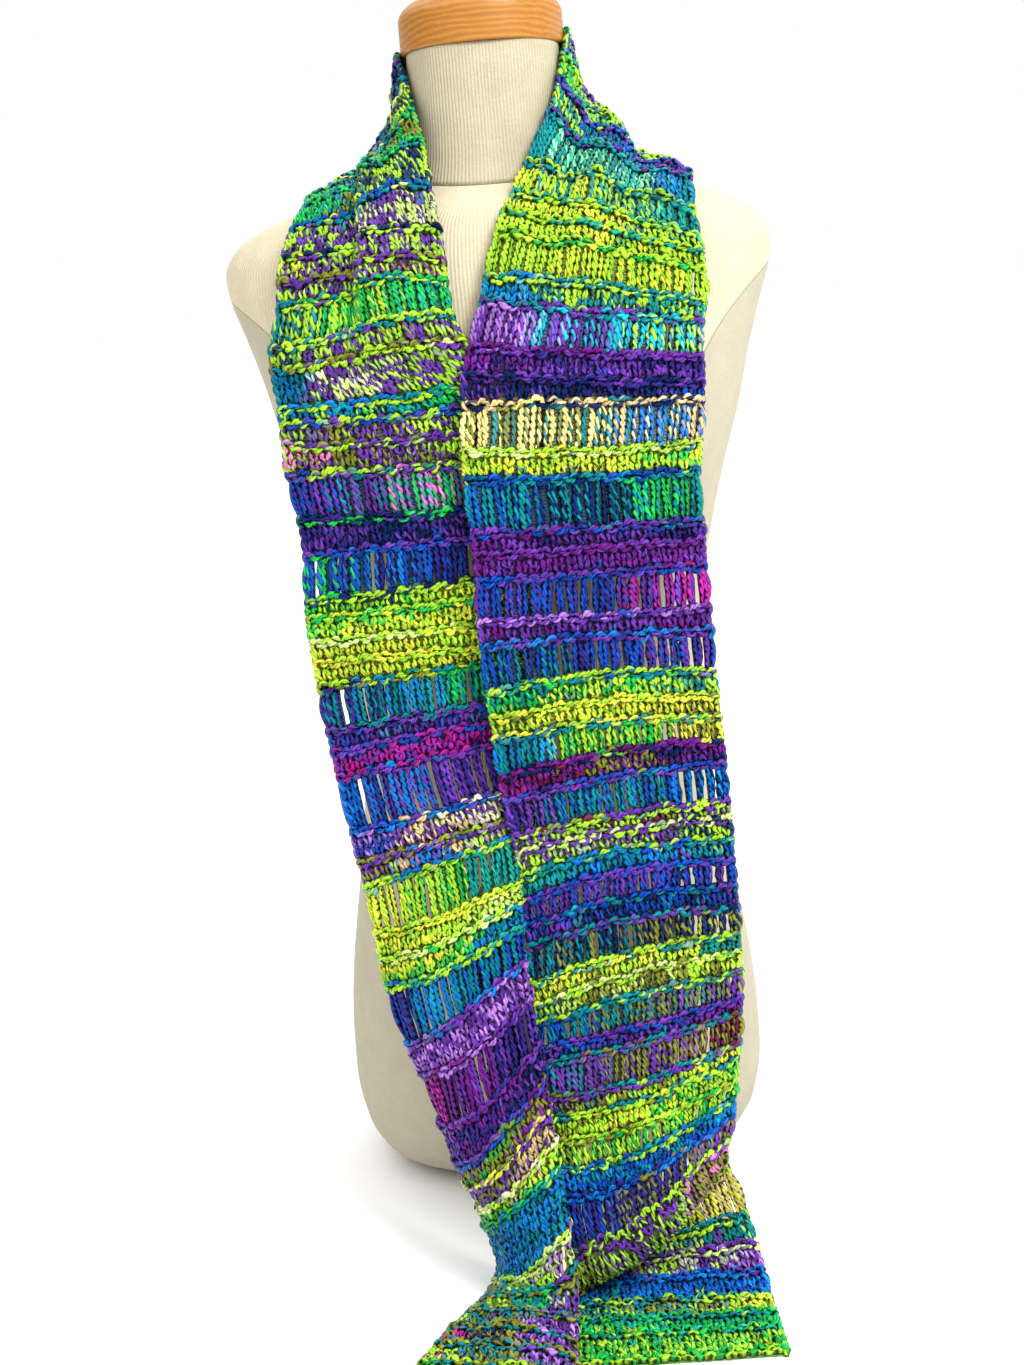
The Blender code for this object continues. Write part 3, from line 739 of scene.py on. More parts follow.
# Soft folds and troughs: share of the width, where it starts and stops along the cloth, half width, height,
# and how far it strays sideways on the way down (mm)
folds = {
    "right": [(0.52, 60, 330, 13, 5.0, 14), (0.33, 110, 290, 9, -4.0, 6), (0.74, 130, 300, 9, -3.0, 10),
              (0.15, 150, 260, 8, 2.5, 4), (0.30, 470, 700, 16, 1.6, -10), (0.62, 560, 860, 18, -1.8, 12)],
    "left": [(0.22, 60, 250, 10, 4.0, 6), (0.72, 90, 260, 8, -3.0, -6), (0.62, 250, 420, 12, 2.2, -8),
             (0.25, 420, 640, 15, 1.6, 8), (0.45, 600, 840, 14, -2.0, -10), (0.30, 760, 930, 10, 2.0, 8)],
}


# Sum of three slanted sine waves of unlike lengths, in metres, that stands in for the unevenness of handwork.
def ripple(across, along, size, seed):
    phases = np.random.default_rng(seed).random(3) * 2 * np.pi
    waves = ((47, 61, 0.5), (23, -37, 0.3), (11, 19, 0.2))
    total = 0.0
    for (wide, long, share), phase in zip(waves, phases):
        total = total + share * np.sin(2 * np.pi * (across / (wide * mm) + along / (long * mm)) + phase)
    return size * total


# Where a row really runs: its place along the middle, plus its lean, plus a ripple. The lean at a share w
# of the width is the parabola that is nil at the middle, 0.45, and has the table's values at 0 and at the
# limit of what shows. Lean and ripple fade out at the back of the neck, where the tails meet.
def coursePlace(tail, along, across):
    limit, middle = tail["limit"], 0.45
    places, outer, inner = tail["lean"].T
    w = np.clip(across / clothSize["width"], 0, limit + 0.06)
    lean = (
        np.interp(along, places, outer) * (w - middle) * (w - limit) / (middle * limit)
        + np.interp(along, places, inner) * w * (w - middle) / (limit * (limit - middle))
    )
    fade = smoothStep(along / (60 * mm)) * smoothStep((tail["end"] - along) / (20 * mm) + 0.2)
    return along + (lean + ripple(across, along, knitSize["ripple"], tail["seed"])) * fade


# The rows of knitting down a tail, as dictionaries of kind, top, bottom and colours.
# A ridge has its own height; what is left up to the next ridge is one dropped row, or as many plain rows as
# fit, each about knitRow high. Near are the colours that a stitch may take at the left, middle and right.
def courses(plan, end):
    half = knitSize["ridgeHeight"] / 2
    rows = []

    def add(kind, top, bottom, colours, mark=0, beside=None):
        rows.append({
            "kind": kind, "top": top, "bottom": bottom, "mark": mark,
            "colours": colours, "beside": beside or colours,
            "shift": rng.normal(0, dye["rowShift"], 8), "light": rng.normal(0, dye["rowLight"], 12),
        })

    def addRows(kind, top, bottom, colours, mark=0):
        count = max(1, round((bottom - top) / knitSize["knitRow"])) if kind == "knit" else 1
        height = bottom - top
        for i in range(count):
            add(kind, top + height * i / count, top + height * (i + 1) / count, colours, mark)

    addRows("knit", 0, plan[0][0] * mm - half, plan[0][3:6])
    for i, (at, ridge, below, *colours) in enumerate(plan):
        start = at * mm + half
        stop = plan[i + 1][0] * mm - half if i + 1 < len(plan) else end - half * 1.2
        add("ridge", at * mm - half, start, [ridge] * 3, 0, colours)
        addRows(below, start, stop, colours, at)
    add("ridge", end - half * 1.2, end + half * 0.4, [plan[-1][3]] * 3)
    for before, row, after in zip([rows[0]] + rows[:-1], rows, rows[1:] + [rows[-1]]):
        beside = (row, row) if row["kind"] in droppedKinds else (before, after)
        row["near"] = ["+".join(r["colours"][k] for r in (row, row, *beside)).split("+") for k in range(3)]
    return rows


# Place of a share of the width from left to right, 0 to 1, over what shows from the front.
def seenShare(shares, tail):
    return np.clip(shares / tail["limit"], 0, 1) if tail["facing"] < 0 else 1 - shares


# Linear colours of both plies at shares of the width: left, middle and right names, blended between.
# The blend is steeper than a straight line, so that each colour holds for a stretch, as in dyed yarn, and
# where it changes strays from row to row and from stitch to stitch.
def plyColours(row, shares, tail, source="colours"):
    stops = [[dyed(part) for part in name.split("+")] for name in row[source]]
    stray = np.interp(shares, np.linspace(0, 1, len(row["shift"])), row["shift"])
    stray = seenShare(shares, tail) * 2 + stray + rng.normal(0, dye["stitchShift"], len(shares))
    place = np.clip(stray, 0, 2)
    low = np.minimum(place.astype(int), 1)
    blend = smoothStep((place - low) * dye["steep"] - (dye["steep"] - 1) / 2)[:, None]
    light = np.exp(np.interp(shares, np.linspace(0, 1, len(row["light"])), row["light"]))[:, None]
    tables = (np.array([stop[ply] for stop in stops]) for ply in range(2))
    return [(table[low] * (1 - blend) + table[low + 1] * blend) * light for table in tables]


# Tubes of yarn along paths on the cloth: across, along and height, each strands x points or a row of it.
# Radii are strands x points. Each ring is centre + radius times (cos of the angle times the up direction +
# sin times the side direction).
def tubes(tail, across, along, rise, radii, plyA, plyB):
    strands, count = radii.shape
    across, along, rise = (part.ravel() for part in np.broadcast_arrays(across, along, rise))
    base, normal = clothFrame(tail, coursePlace(tail, along, across), across / clothSize["width"])
    centre = (base + normal * rise[:, None]).reshape(strands, count, 3)
    normal = normal.reshape(strands, count, 3)
    tangent = unit(np.gradient(centre, axis=1))
    side = unit(np.cross(tangent, normal))
    up = np.cross(side, tangent)
    sides = knitSize["sides"]
    turn = 2 * np.pi * np.arange(sides)[:, None] / sides
    way = np.cos(turn) * up[:, :, None] + np.sin(turn) * side[:, :, None]
    ring = centre[:, :, None] + radii[:, :, None, None] * way
    ring[..., 2] = np.maximum(ring[..., 2], 0.2 * mm)

    strand, step, around = np.mgrid[0:strands, 0 : count - 1, 0:sides]
    here = (strand * count + step) * sides
    after = (around + 1) % sides
    quads = np.stack([here + around, here + after, here + sides + after, here + sides + around], axis=-1)
    run = runAlong(centre) / knitSize["twistPitch"] + rng.random((strands, 1))
    low, high = run[strand, step], run[strand, step + 1]
    corners = ((low, around), (low, around + 1), (high, around + 1), (high, around))
    uvs = np.stack([np.stack([u, v / sides], -1) for u, v in corners], axis=-2)
    plies = {name: np.repeat(ply, count * sides, axis=0) for name, ply in (("plyA", plyA), ("plyB", plyB))}
    return {"points": ring.reshape(-1, 3), "quads": quads.reshape(-1, 4), "uvs": uvs.reshape(-1, 2), **plies}


# Several tube sets as one.
def joined(parts):
    offsets = np.cumsum([0] + [len(p["points"]) for p in parts[:-1]])
    result = {key: np.concatenate([p[key] for p in parts]) for key in ("points", "uvs", "plyA", "plyB")}
    result["quads"] = np.concatenate([p["quads"] + o for p, o in zip(parts, offsets)])
    return result


# For each stitch a colour taken at random from that part of the row or of the rows beside it.
def flecksOf(row, shares, tail):
    colours = np.array([[dyed(name) for name in names] for names in row["near"]])
    part = np.rint(seenShare(shares, tail) * 2).astype(int)
    return colours[part, rng.integers(0, colours.shape[1], len(shares))]


# Small changes from stitch to stitch: plies that change places or share a colour, flecks, and brightness.
def varied(plyA, plyB, near):
    count = len(plyA)
    middle = (plyA + plyB) / 2
    a, b = (middle + (ply - middle) * dye["contrast"] for ply in (plyA, plyB))
    swap = rng.random((count, 1)) < dye["swapped"]
    a, b = np.where(swap, b, a), np.where(swap, a, b)
    lights = [np.exp(rng.normal(0, spread, (count, 1))) for spread in (0.13, 0.15)]
    single = rng.random((count, 1))
    b = np.where(single < dye["bothFirst"], a * 0.85, b)
    a = np.where(single > 1 - dye["bothSecond"], b * 1.1, a)
    result = []
    for ply, light in zip((a, b), lights):
        share = rng.uniform(dye["fleckLeast"], 1.0, (count, 1)) * (rng.random((count, 1)) < dye["flecks"])
        result.append(np.clip((ply + (near - ply) * share) * light, 0, 0.95))
    return result


# Thick-and-thin yarn: radii with a few thick slubs and thin places.
def slub(count):
    share = 1 + rng.normal(0, 0.11, count)
    share = np.where(rng.random(count) < 0.08, share * 1.30, share)
    return np.where(rng.random(count) < 0.10, share * 0.76, share)[:, None]


# A normal stray for each of a number of strands.
def jitter(size, count):
    return rng.normal(0, size, (count, 1))


pitch = clothSize["width"] / knitSize["stitches"]
centres = (np.arange(knitSize["stitches"]) + 0.5) * pitch


# A row of plain stitches: two leaning legs each, rising out of the fabric and diving behind it at both ends.
def knitRow(tail, row):
    size = {"foot": 0.06, "lean": 0.29, "belly": 0.04, "over": 0.2, "length": 1.36, "rise": 1.6, "dive": 0.75}
    height = row["bottom"] - row["top"]
    t = np.linspace(0, 1, 6)
    arch = np.sin(np.pi * t)
    count = len(centres)
    shift, drop, thick = jitter(0.4 * mm, count), jitter(0.45 * mm, count), slub(count)
    shares = centres / clothSize["width"]
    plies = varied(*plyColours(row, shares, tail), flecksOf(row, shares, tail))
    parts = []
    for sign in (-1, 1):
        lean = size["foot"] + size["lean"] * t + size["belly"] * arch + jitter(0.025, count)
        across = centres[:, None] + sign * pitch * lean + shift
        along = row["bottom"] + height * (size["over"] - size["length"] * t) + drop
        rise = (size["rise"] * arch**0.8 - size["dive"]) * mm + jitter(0.25 * mm, count)
        radii = knitSize["yarnRadius"] * (0.46 + 0.56 * arch**0.7) * thick
        parts.append(tubes(tail, across, along, rise, radii, *plies))
    return parts


# A garter ridge: an upper line of frowning bumps, and a lower line of smiling ones between them.
def ridgeRow(tail, row):
    bump = {"off": 1.9, "bend": 2.1, "reach": (1.16, 1.10), "rise": (2.7, 2.2), "dive": 0.2}
    middle = (row["top"] + row["bottom"]) / 2
    t = np.linspace(0, 1, 6)
    swing = (2 * t - 1) ** 2
    arch = np.sin(np.pi * t)
    parts = []
    for lower, sign in enumerate((-1, 1)):
        here = centres[:-1] + pitch / 2 if lower else centres
        count = len(here)
        across = here[:, None] + pitch * bump["reach"][lower] * (t - 0.5) + jitter(0.45 * mm, count)
        along = middle + sign * (bump["off"] - bump["bend"] * swing) * mm + jitter(0.5 * mm, count)
        along = along + jitter(0.7 * mm, count) * (t - 0.5)
        rise = (bump["rise"][lower] * arch**0.6 - bump["dive"]) * mm + jitter(0.35 * mm, count)
        radii = knitSize["yarnRadius"] * (0.55 + 0.52 * arch**0.8) * slub(count)
        shares = here / clothSize["width"]
        own = plyColours(row, shares, tail)
        beside = plyColours(row, shares, tail, "beside")
        strays = rng.random((count, 1)) < knitSize["ridgeStray"]
        plyA, plyB = (np.where(strays, other, mine) for other, mine in zip(beside, own))
        if lower:
            plyA, plyB = plyB, plyA
        plyB = np.where(rng.random((count, 1)) < 0.5, plyA, plyB)
        plies = varied(plyA, plyB, flecksOf(row, shares, tail))
        parts.append(tubes(tail, across, along, rise, radii, *plies))
    return parts


# A dropped row: two long strands for each stitch, pushed apart and drawn thin by the slit beside them.
# Hidden is the length of the strands under the rows above and below (mm).
def dropRow(tail, row, slits):
    size = {"hidden": 1.8, "foot": 0.55, "slant": 0.08, "rise": 1.0, "dive": 0.35, "thin": 0.22, "slit": 2.5}
    t = np.linspace(0, 1, 9)
    arch = np.sin(np.pi * t)
    count = len(centres)
    top, bottom = row["top"] - size["hidden"] * mm, row["bottom"] + size["hidden"] * mm
    shares = centres / clothSize["width"]
    parts = []
    for sign in (-1, 1):
        beside = np.concatenate([[0], slits]) if sign < 0 else np.concatenate([slits, [0]])
        offset = sign * (pitch * 0.25 - beside / 2)
        wander = jitter(0.6 * mm, count) * arch + jitter(0.35 * mm, count)
        wander = wander + jitter(0.35 * mm, count) * np.sin(2 * np.pi * t)
        spread = size["foot"] + (1 - size["foot"]) * arch**0.5
        across = centres[:, None] + offset[:, None] * spread + wander + size["slant"] * pitch * (t - 0.5)
        along = top + (bottom - top) * t
        rise = (size["rise"] * arch**0.5 - size["dive"]) * mm + jitter(0.35 * mm, count) * arch
        swell = 1
        for part, turns in ((0.16, 1.5), (0.10, 3.1)):
            swell = swell + part * np.sin(2 * np.pi * (t * turns + rng.random((count, 1))))
        thin = 1 - size["thin"] * np.clip(beside / (size["slit"] * mm), 0, 1)
        radii = knitSize["yarnRadius"] * (0.80 + 0.24 * arch) * (slub(count) * thin[:, None]) * swell
        plies = varied(*plyColours(row, shares, tail), flecksOf(row, shares, tail))
        parts.append(tubes(tail, across, along, rise, radii, *plies))
    return parts


# Edge loops: beside each row a strand that bulges out of the selvedge, further and longer at a dropped row.
def selvedges(tail, rows):
    inset, hidden = 1.9 * mm, 1.4 * mm
    t = np.linspace(0, 1, 7)
    arch = np.sin(np.pi * t)
    count = len(rows)
    top, bottom = np.array([(row["top"], row["bottom"]) for row in rows]).T
    bulge = np.where([row["kind"] in droppedKinds for row in rows], 2.2, 1.4)
    parts = []
    for edge, outwards in ((0, -1), (1, 1)):
        reach = bulge[:, None] * mm * (1 + jitter(0.25, count))
        across = clothSize["width"] * edge - outwards * inset + outwards * reach * arch
        along = top[:, None] - hidden + (bottom - top + 2 * hidden)[:, None] * t
        rise = (1.2 * arch - 0.4) * mm + jitter(0.4 * mm, count)
        radii = knitSize["yarnRadius"] * (0.80 + 0.25 * arch) * slub(count)
        share = np.full(1, float(edge))
        plies = [np.concatenate(ply) for ply in zip(*(plyColours(row, share, tail) for row in rows))]
        near = np.concatenate([flecksOf(row, share, tail) for row in rows])
        parts.append(tubes(tail, across, along, rise, radii, *varied(*plies, near)))
    return parts


# The fabric behind the stitches: the rows' own colours in painted shade, with a fine bump of crossing yarns.
def shellMaterial():
    # dark is the painted shade over the whole shell, standing in for the shade under the stitches.
    look = {"roughness": 0.85, "sheen": 0.2, "dark": 0.35, "bump": 0.6}
    material, tree, shader = newMaterial("fabric behind", look["roughness"])
    shader.inputs["Sheen Weight"].default_value = look["sheen"]
    uv = addNode(tree, "UVMap", "cloth", uv_map="cloth").outputs[0]
    inputs = {"Vector": uv, "Scale": 0.16, "Distortion": 2.5, "Detail": 1.0}
    waves = addNode(tree, "TexWave", "purl backs", inputs, bands_direction="Y").outputs[1]
    mixed = mixColour(tree, "plies", noise(tree, "plies", uv, 0.7, 3.0), *plySockets(tree))
    # Painted shade in the troughs of the purl backs, then painted shade over the whole shell.
    mixed = mixColour(tree, "shaded", 1.0, mixed, ramp(tree, "shade", waves, 0.0, 1.0, 0.3), "MULTIPLY")
    mixed = mixColour(tree, "painted shade over the shell", look["dark"], mixed, (0, 0, 0, 1))
    finish(tree, shader, mixed, "crossing yarns", look["bump"], 1 * mm, waves)
    return material


shellSize = {
    "front": -0.35 * mm,  # its two faces, as heights over the middle of the cloth
    "back": -1.25 * mm,
    "slitHalf": 1.7 * mm,
    "step": 7 * mm,
    "inset": 0.6 * mm,
}


# A closed thin shell under one stretch's yarn, cut through at the slits of the dropped rows.
def shell(name, tail, rows, slitMap, material):
    width = clothSize["width"]
    borders = np.arange(1, knitSize["stitches"]) * pitch
    half, inset = shellSize["slitHalf"], shellSize["inset"]
    slitEdges = np.stack([borders - half, borders + half], 1).ravel()
    columns = np.concatenate([[inset], slitEdges, [width - inset]])
    places, owners = [rows[0]["top"]], []
    for index, row in enumerate(rows):
        height = row["bottom"] - row["top"]
        parts = max(1, math.ceil(height / shellSize["step"]))
        places += [row["top"] + height * (k + 1) / parts for k in range(parts)]
        owners += [index] * parts
    along, across = np.meshgrid(places, columns, indexing="ij")
    count, wide = along.shape
    total = count * wide
    base, normal = clothFrame(tail, coursePlace(tail, along.ravel(), across.ravel()), across.ravel() / width)
    points = np.concatenate([base + normal * shellSize[face] for face in ("front", "back")])
    points[:, 2] = np.maximum(points[:, 2], 0.1 * mm)

    solid = np.ones((count - 1, wide - 1), bool)
    for cell, owner in enumerate(owners):
        if owner in slitMap:
            solid[cell, 1::2] = slitMap[owner] <= 0
    corner = np.arange(count - 1)[:, None] * wide + np.arange(wide - 1)
    cells = (corner[..., None] + [0, 1, wide + 1, wide])[solid]
    quads = [cells, cells[:, ::-1] + total]
    padded = np.pad(solid, 1)
    for down, over, a, b in ((0, 1, 0, 1), (1, 2, 1, wide + 1), (2, 1, wide + 1, wide), (1, 0, wide, 0)):
        edge = solid & ~padded[down : down + count - 1, over : over + wide - 1]
        first, second = corner[edge] + a, corner[edge] + b
        quads.append(np.stack([second, first, first + total, second + total], axis=1))
    quads = np.concatenate(quads)[:, :: -tail["facing"]]
    uvs = np.tile(np.stack([across.ravel(), along.ravel()], axis=1) / mm, (2, 1))[quads.ravel()]

    lines = [plyColours(rows[owner], columns / width, tail) for owner in owners + owners[-1:]]
    colours = {name: np.tile(np.concatenate(ply), (2, 1)) for name, ply in zip(("plyA", "plyB"), zip(*lines))}
    return makeMesh(name, points, quads, material, uvs, "cloth", colours)


slitSize = {
    "drop": 0.12,  # share of the stitch borders that stand open in a close dropped row, and in an open one
    "open": 0.55,
    "usual": 0.95 * mm,
    "wide": 2.7 * mm,
}


# Width of the slit at each stitch border of the dropped rows, nil where the strands touch.
def slitsOf(side, rows, label):
    borders = np.arange(1, knitSize["stitches"]) / knitSize["stitches"]
    result = {}
    for index, row in enumerate(rows):
        if row["kind"] not in droppedKinds:
            continue
        share = slitSize[row["kind"]] * (label != "neck")
        widths = slitSize["usual"] * rng.uniform(0.3, 1.5, len(borders)) * (rng.random(len(borders)) < share)
        for mark, place in wideGaps[side]:
            if mark == row["mark"]:
                widths[np.argmin(np.abs(borders - place))] = slitSize["wide"] * rng.uniform(0.8, 1.1)
        result[index] = widths
    return result


# All stretches of one tail: for each a shell with its plain, ridge, dropped and selvedge yarn on it.
def buildTail(side, stations, plan, lean, cuts, yarn, under):
    tail = tailOf(side, stations, lean)
    rows = courses(plan, tail["end"])
    middles = np.array([(row["top"] + row["bottom"]) / 2 for row in rows])
    stretch = np.searchsorted(np.array(cuts) * mm, middles, "right")
    labels = {
        "neck": ("draped", ["form_neck", "form_torso"]),
        "fall": ("draped", ["form_torso"]),
        "end": ("laid", []),
    }
    for index, (label, (held, rests)) in enumerate(labels.items()):
        own = [row for row, place in zip(rows, stretch) if place == index]
        slitMap = slitsOf(side, own, label)
        makers = {
            "knit": [p for row in own if row["kind"] == "knit" for p in knitRow(tail, row)],
            "ridge": [p for row in own if row["kind"] == "ridge" for p in ridgeRow(tail, row)],
            "drop": [p for i, row in enumerate(own) if i in slitMap for p in dropRow(tail, row, slitMap[i])],
            "edge": selvedges(tail, own),
        }
        node = f"scarf_{side}_{label}"
        piece = shell(f"shell_{side}_{label}", tail, own, slitMap, under)
        for kind, parts in makers.items():
            if not parts:
                continue
            made = joined(parts)
            name = f"yarn_{side}_{label}_{kind}"
            plies = {ply: made[ply] for ply in ("plyA", "plyB")}
            strand = makeMesh(name, made["points"], made["quads"], yarn, made["uvs"], "yarn", plies)
            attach(strand, "root")
        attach(piece, "root")
        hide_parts(node)
    report(f"{side} tail")


# The seam between the ribbed front and the plain side panels: half width = out + slope up + bend up squared,
# where up is the height over the first height, as a share of the rise; further down it keeps the least half
# width. The panels end at the top, and the seam is pressed in from the dip upwards.
panelLine = {
    "out": 136 * mm,
    "slope": 33 * mm,
    "bend": 15 * mm,
    "least": 50 * mm,
    "height": 603 * mm,
    "rise": 46 * mm,
    "dip": 480 * mm,
    "top": 656 * mm,
}


# Cream jersey: upright ribs, a little uneven, on neck and front; plain, duller and grainier on the side
# panels. The whole is multiplied by the painted-shade factor, which darkens the neck's copy as painted shade.
def jerseyMaterial(name, paintedShade):
    look = {
        "light": (0.87, 0.835, 0.715),
        "dark": (0.76, 0.705, 0.58),
        "panel": (0.75, 0.72, 0.625),
        "panelDark": 0.75,
        "rib": 2.6,  # width of a rib (mm)
        "seamDark": 0.55,
        "bump": 0.5,
    }
    material, tree, shader = newMaterial(name, 0.9)
    calc = partial(mathNode, tree)
    uv = addNode(tree, "UVMap", "cloth", uv_map="cloth").outputs[0]
    around = addNode(tree, "SeparateXYZ", "around and up", {0: uv}).outputs[0]
    place = objectPlace(tree)
    x, _, z = addNode(tree, "SeparateXYZ", "side and height", {0: place}).outputs
    up = calc("DIVIDE", "up", calc("SUBTRACT", "over", z, panelLine["height"]), panelLine["rise"])
    high = calc("MAXIMUM", "upper part", up, 0.0)
    line = calc("MULTIPLY_ADD", "slope", up, panelLine["slope"], panelLine["out"])
    line = calc("MULTIPLY_ADD", "bend", calc("MULTIPLY", "up squared", high, high), panelLine["bend"], line)
    line = calc("MAXIMUM", "straight lower down", line, panelLine["least"])
    past = calc("SUBTRACT", "past the seam", calc("ABSOLUTE", "half width", x), line)
    off = calc("ABSOLUTE", "off the seam", past)
    groove = ramp(tree, "seam groove", off, 0.3 * mm, 1.3 * mm, look["seamDark"])
    low = calc("GREATER_THAN", "under the shoulder", panelLine["top"], z)
    panel = calc("MULTIPLY", "side panel below", ramp(tree, "side panel", past, 0.0, 1.5 * mm), low)
    groove = mixColour(tree, "seam below", low, (1, 1, 1, 1), groove)

    around = calc("MULTIPLY_ADD", "swayed", noise(tree, "uneven ribs", place, 40.0, 2.0), 0.9, around)
    wave = calc("SINE", "ribs", calc("MULTIPLY", "rib pitch", around, 2 * math.pi / look["rib"]))
    wave = calc("MULTIPLY", "no ribs on panels", wave, calc("SUBTRACT", "front", 1.0, panel))
    grain = noise(tree, "grain", place, 800.0, 3.0)
    blotch = noise(tree, "blotches", place, 60.0, 4.0)
    share = calc("MULTIPLY_ADD", "rib share", wave, 0.24, 0.5)
    share = calc("ADD", "with grain", share, calc("MULTIPLY_ADD", "grain share", grain, 1.2, -0.6))
    share = calc("ADD", "with blotches", share, calc("MULTIPLY_ADD", "blotch share", blotch, 0.8, -0.4))
    share = addNode(tree, "Clamp", "0 to 1", {0: share}).outputs[0]
    light, dark, flat = (linear(look[key]) for key in ("light", "dark", "panel"))
    pale = mixColour(tree, "front or panel", panel, (*light, 1), (*flat, 1))
    deep = mixColour(tree, "darker panel", panel, (*dark, 1), (*(flat * look["panelDark"]), 1))
    colour = mixColour(tree, "jersey", share, deep, pale)
    colour = mixColour(tree, "seam", 1.0, colour, groove, "MULTIPLY")
    # Painted shade: the colour is multiplied by the factor, which darkens the neck's copy.
    colour = mixColour(tree, "paintedShade", 1.0, colour, (paintedShade, paintedShade, paintedShade, 1), "MULTIPLY")
    height = calc("MULTIPLY_ADD", "height", grain, 1.2, wave)
    finish(tree, shader, colour, "ribs", look["bump"], 0.3 * mm, height)
    return material


# Turned orange-brown wood: rings cut across, streaks drawn out along the turning, a satin finish.
def woodMaterial():
    look = {"light": (0.80, 0.54, 0.20), "dark": (0.56, 0.34, 0.10), "roughness": 0.42, "bump": 0.15}
    material, tree, shader = newMaterial("cap wood", look["roughness"])
    inputs = {"Vector": objectPlace(tree), "Scale": (1.0, 7.0, 9.0), "Rotation": (0.12, 0.2, 0)}
    drawn = addNode(tree, "Mapping", "grain way", inputs).outputs[0]
    inputs = {"Vector": drawn, "Scale": 9.0, "Distortion": 6.0, "Detail": 3.0}
    rings = addNode(tree, "TexWave", "rings", inputs, bands_direction="Z").outputs[1]
    streaks = noise(tree, "streaks", drawn, 70.0, 5.0, 0.65)
    part = mathNode(tree, "MULTIPLY", "rings", rings, 0.4)
    share = mathNode(tree, "MULTIPLY_ADD", "rings and streaks", streaks, 0.6, part)
    colour = mixColour(tree, "wood", share, (*linear(look["dark"]), 1), (*linear(look["light"]), 1))
    finish(tree, shader, colour, "pores", look["bump"], 0.2 * mm, streaks)
    return material


# A closed loft of rings whose last point repeats the first, with flat ends made of strips across.
def ringsMesh(name, rings, material):
    count, wide = rings.shape[0], rings.shape[1] - 1
    arc = runAlong(rings)
    up = runAlong(rings[:, 0])[:, None]
    uvPoint = np.stack([arc / arc[:, -1:] * arc[:, -1].max(), np.broadcast_to(up, arc.shape)], axis=-1) / mm
    points = rings[:, :-1].reshape(-1, 3)
    r, c = np.mgrid[0 : count - 1, 0:wide]
    corners = ((r, c), (r, c + 1), (r + 1, c + 1), (r + 1, c))
    quads = np.stack([ring * wide + spot % wide for ring, spot in corners], axis=-1).reshape(-1, 4)
    uvs = np.stack([uvPoint[corner] for corner in corners], axis=-2).reshape(-1, 2)
    first = np.arange(wide // 2 - 1)
    cap = np.stack([first, first + 1, wide - 2 - first, wide - 1 - first], axis=1)
    caps = np.concatenate([cap[:, ::-1], cap + (count - 1) * wide])
    uvs = np.concatenate([uvs, points[caps.ravel()][:, :2] / mm])
    return makeMesh(name, points, np.concatenate([quads, caps]), material, uvs, "cloth")


# The form with the seam of its side panels pressed in: a bell across the seam's line, panelLine.
def seamDips(rings):
    x, y, z = rings[..., 0], rings[..., 1], rings[..., 2]
    up = (z - panelLine["height"]) / panelLine["rise"]
    line = panelLine["out"] + panelLine["slope"] * up + panelLine["bend"] * np.clip(up, 0, None) ** 2
    off = np.abs(x) - np.maximum(line, panelLine["least"])
    near = np.exp(-((off / (1.3 * mm)) ** 2)) * (z > panelLine["dip"]) * (z < panelLine["top"])
    inwards = -unit(np.stack([x, y, np.zeros_like(z)], axis=-1))
    return rings + inwards * (near * formSize["seamDepth"])[..., None]


def buildForm():
    rim, shoulder, join, neckTop = 24 * mm, 660 * mm, 726 * mm, 802.2 * mm
    heights = np.concatenate([
        np.arange(0, join, formSize["rowStep"]),
        np.linspace(0, rim, 14),
        np.linspace(shoulder, join, 34),
    ])
    torso = formRings(torsoSections, np.unique(heights))
    torso[0, :, 2] = 0
    neck = formRings(neckSections, np.linspace(join, neckTop, 30))
    neck[0, :, 2] += clothSize["seam"]

    radius, bottom, top = formSize["capRadius"], formSize["capBottom"], formSize["capTop"]
    edge, start = formSize["capEdge"], formSize["capShoulder"]
    turn = np.linspace(0, np.pi / 2, 20)
    lowEdge = np.stack([radius - edge + edge * np.sin(turn), bottom + edge - edge * np.cos(turn)], 1)
    inset = formSize["capRound"] * (1 - np.cos(turn))
    highEdge = np.stack([radius - inset, start + (top - start) * np.sin(turn)], 1)
    profile = np.concatenate([[[0.5 * mm, bottom]], lowEdge, highEdge, [[0.5 * mm, top]]])
    around = np.linspace(0, 2 * np.pi, formSize["capSides"] + 1)
    reach, height = profile[:, :1], profile[:, 1:]
    cap = np.stack([reach * np.cos(around), reach * np.sin(around), height + 0 * around], axis=-1)

    # Two copies of one jersey; the neck's copy is darker with painted shade.
    bodyJersey = jerseyMaterial("body jersey", formSize["bodyPaintedShade"])
    neckJerseyPaintedShade = jerseyMaterial("neck jersey with painted shade", formSize["neckPaintedShade"])
    for name, node, slot, rings, material in (
        ("torso_jersey", "form_torso", "form_jersey", seamDips(torso), bodyJersey),
        ("neck_jersey", "form_neck", "form_jersey", neck, neckJerseyPaintedShade),
        ("cap_wood", "form_cap", "form_wood", cap, woodMaterial()),
    ):
        piece = ringsMesh(name, rings, material)
        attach(piece, "root")
        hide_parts(node)
    report("form")


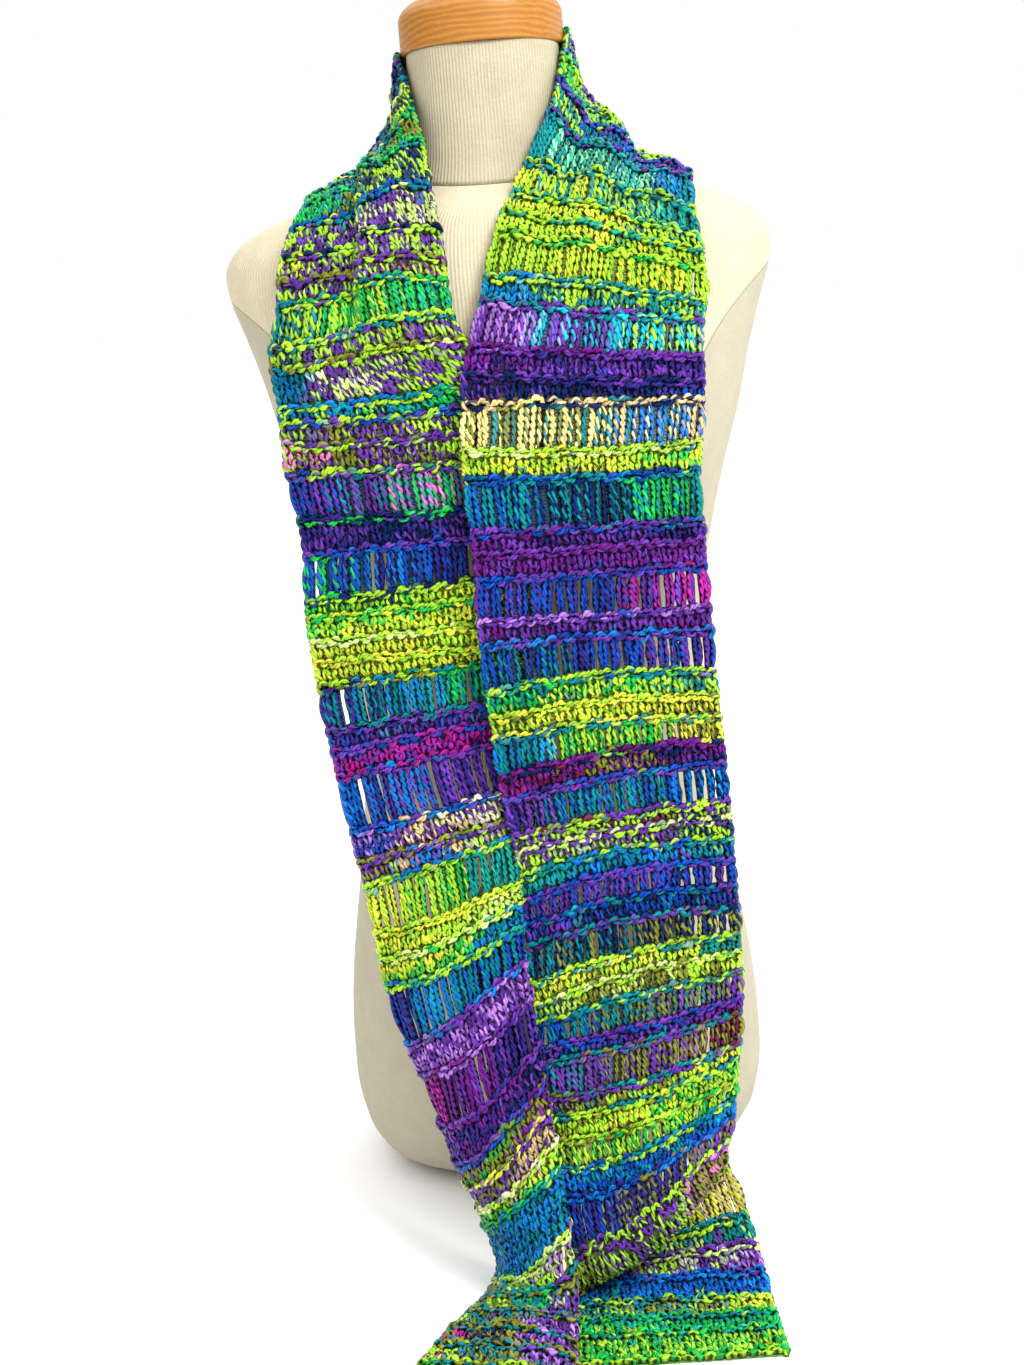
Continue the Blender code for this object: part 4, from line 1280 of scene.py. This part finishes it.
def buildStage():
    light = {
        "key": 46.0,
        "keyPlace": (1.05, -1.45, 2.15),
        "keySize": 0.8,
        "behind": 1.0,  # the world's strength behind the form, above it, and on the camera's side
        "above": 1.9,
        "front": 0.42,
        "left": 0.12,  # share of it at the far left
        "aim": (0.0, 0.0, 0.42),
        "floor": (0.95, 0.95, 0.95),
    }
    floorMesh = bpy.data.meshes.new("floor")
    reach = 60.0
    corners = [(x * reach, y * reach, 0) for x, y in ((-1, -1), (1, -1), (1, 1), (-1, 1))]
    floorMesh.from_pydata(corners, [], [(0, 1, 2, 3)])
    floor = bpy.data.objects.new("floor", floorMesh)
    bpy.context.scene.collection.objects.link(floor)
    material, _, shader = newMaterial("pale floor", 0.9)
    shader.inputs["Base Color"].default_value = (*light["floor"], 1)
    floorMesh.materials.append(material)

    world = bpy.data.worlds.new("soft light")
    world.use_nodes = True
    tree = world.node_tree
    way = addNode(tree, "TexCoord", "way").outputs["Generated"]
    aside, depth, up = addNode(tree, "SeparateXYZ", "way", {0: way}).outputs
    level = ramp(tree, "brighter behind", depth, -0.3, 0.5, light["front"], light["behind"])
    shaded = ramp(tree, "darker at the left", aside, -0.95, -0.40, light["left"])
    level = mathNode(tree, "MULTIPLY", "sides", level, shaded)
    high = ramp(tree, "high", up, 0.3, 0.8)
    strength = addNode(tree, "Mix", "above", {0: high, 2: level, 3: light["above"]}).outputs[0]
    background = tree.nodes["Background"]
    background.inputs[0].default_value = (1, 1, 1, 1)
    tree.links.new(strength, background.inputs[1])
    bpy.context.scene.world = world

    data = bpy.data.lights.new("key", "AREA")
    data.size = light["keySize"]
    data.energy = light["key"]
    lamp = bpy.data.objects.new("key", data)
    lamp.location = light["keyPlace"]
    lamp.rotation_euler = (Vector(light["aim"]) - lamp.location).to_track_quat("-Z", "Y").to_euler()
    bpy.context.scene.collection.objects.link(lamp)


# The camera's place, how far it looks down and rolls (degrees), and its focal length and height in pixels.
def buildCamera():
    view = {
        "place": (-0.0135, -1.2, 0.64), "down": 13.0, "roll": 4.5,
        "focal": 1670.0, "tall": 1365.0, "sensor": 24.0,
    }
    data = bpy.data.cameras.new("camera")
    data.sensor_fit = "VERTICAL"
    data.sensor_height = view["sensor"]
    data.lens = view["focal"] / view["tall"] * view["sensor"]
    camera = bpy.data.objects.new("camera", data)
    camera.matrix_world = (
        Matrix.Translation(view["place"])
        @ Matrix.Rotation(math.radians(90 - view["down"]), 4, "X")
        @ Matrix.Rotation(math.radians(-view["roll"]), 4, "Z")
    )
    bpy.context.scene.collection.objects.link(camera)
    bpy.context.scene.camera = camera
    bpy.context.scene.view_settings.view_transform = "Standard"


buildCamera()
buildStage()
buildForm()
yarn = yarnMaterial()
under = shellMaterial()
buildTail("left", leftStations, leftPlan, leftLean, (200, 925), yarn, under)
buildTail("right", rightStations, rightPlan, rightLean, (200, 958), yarn, under)
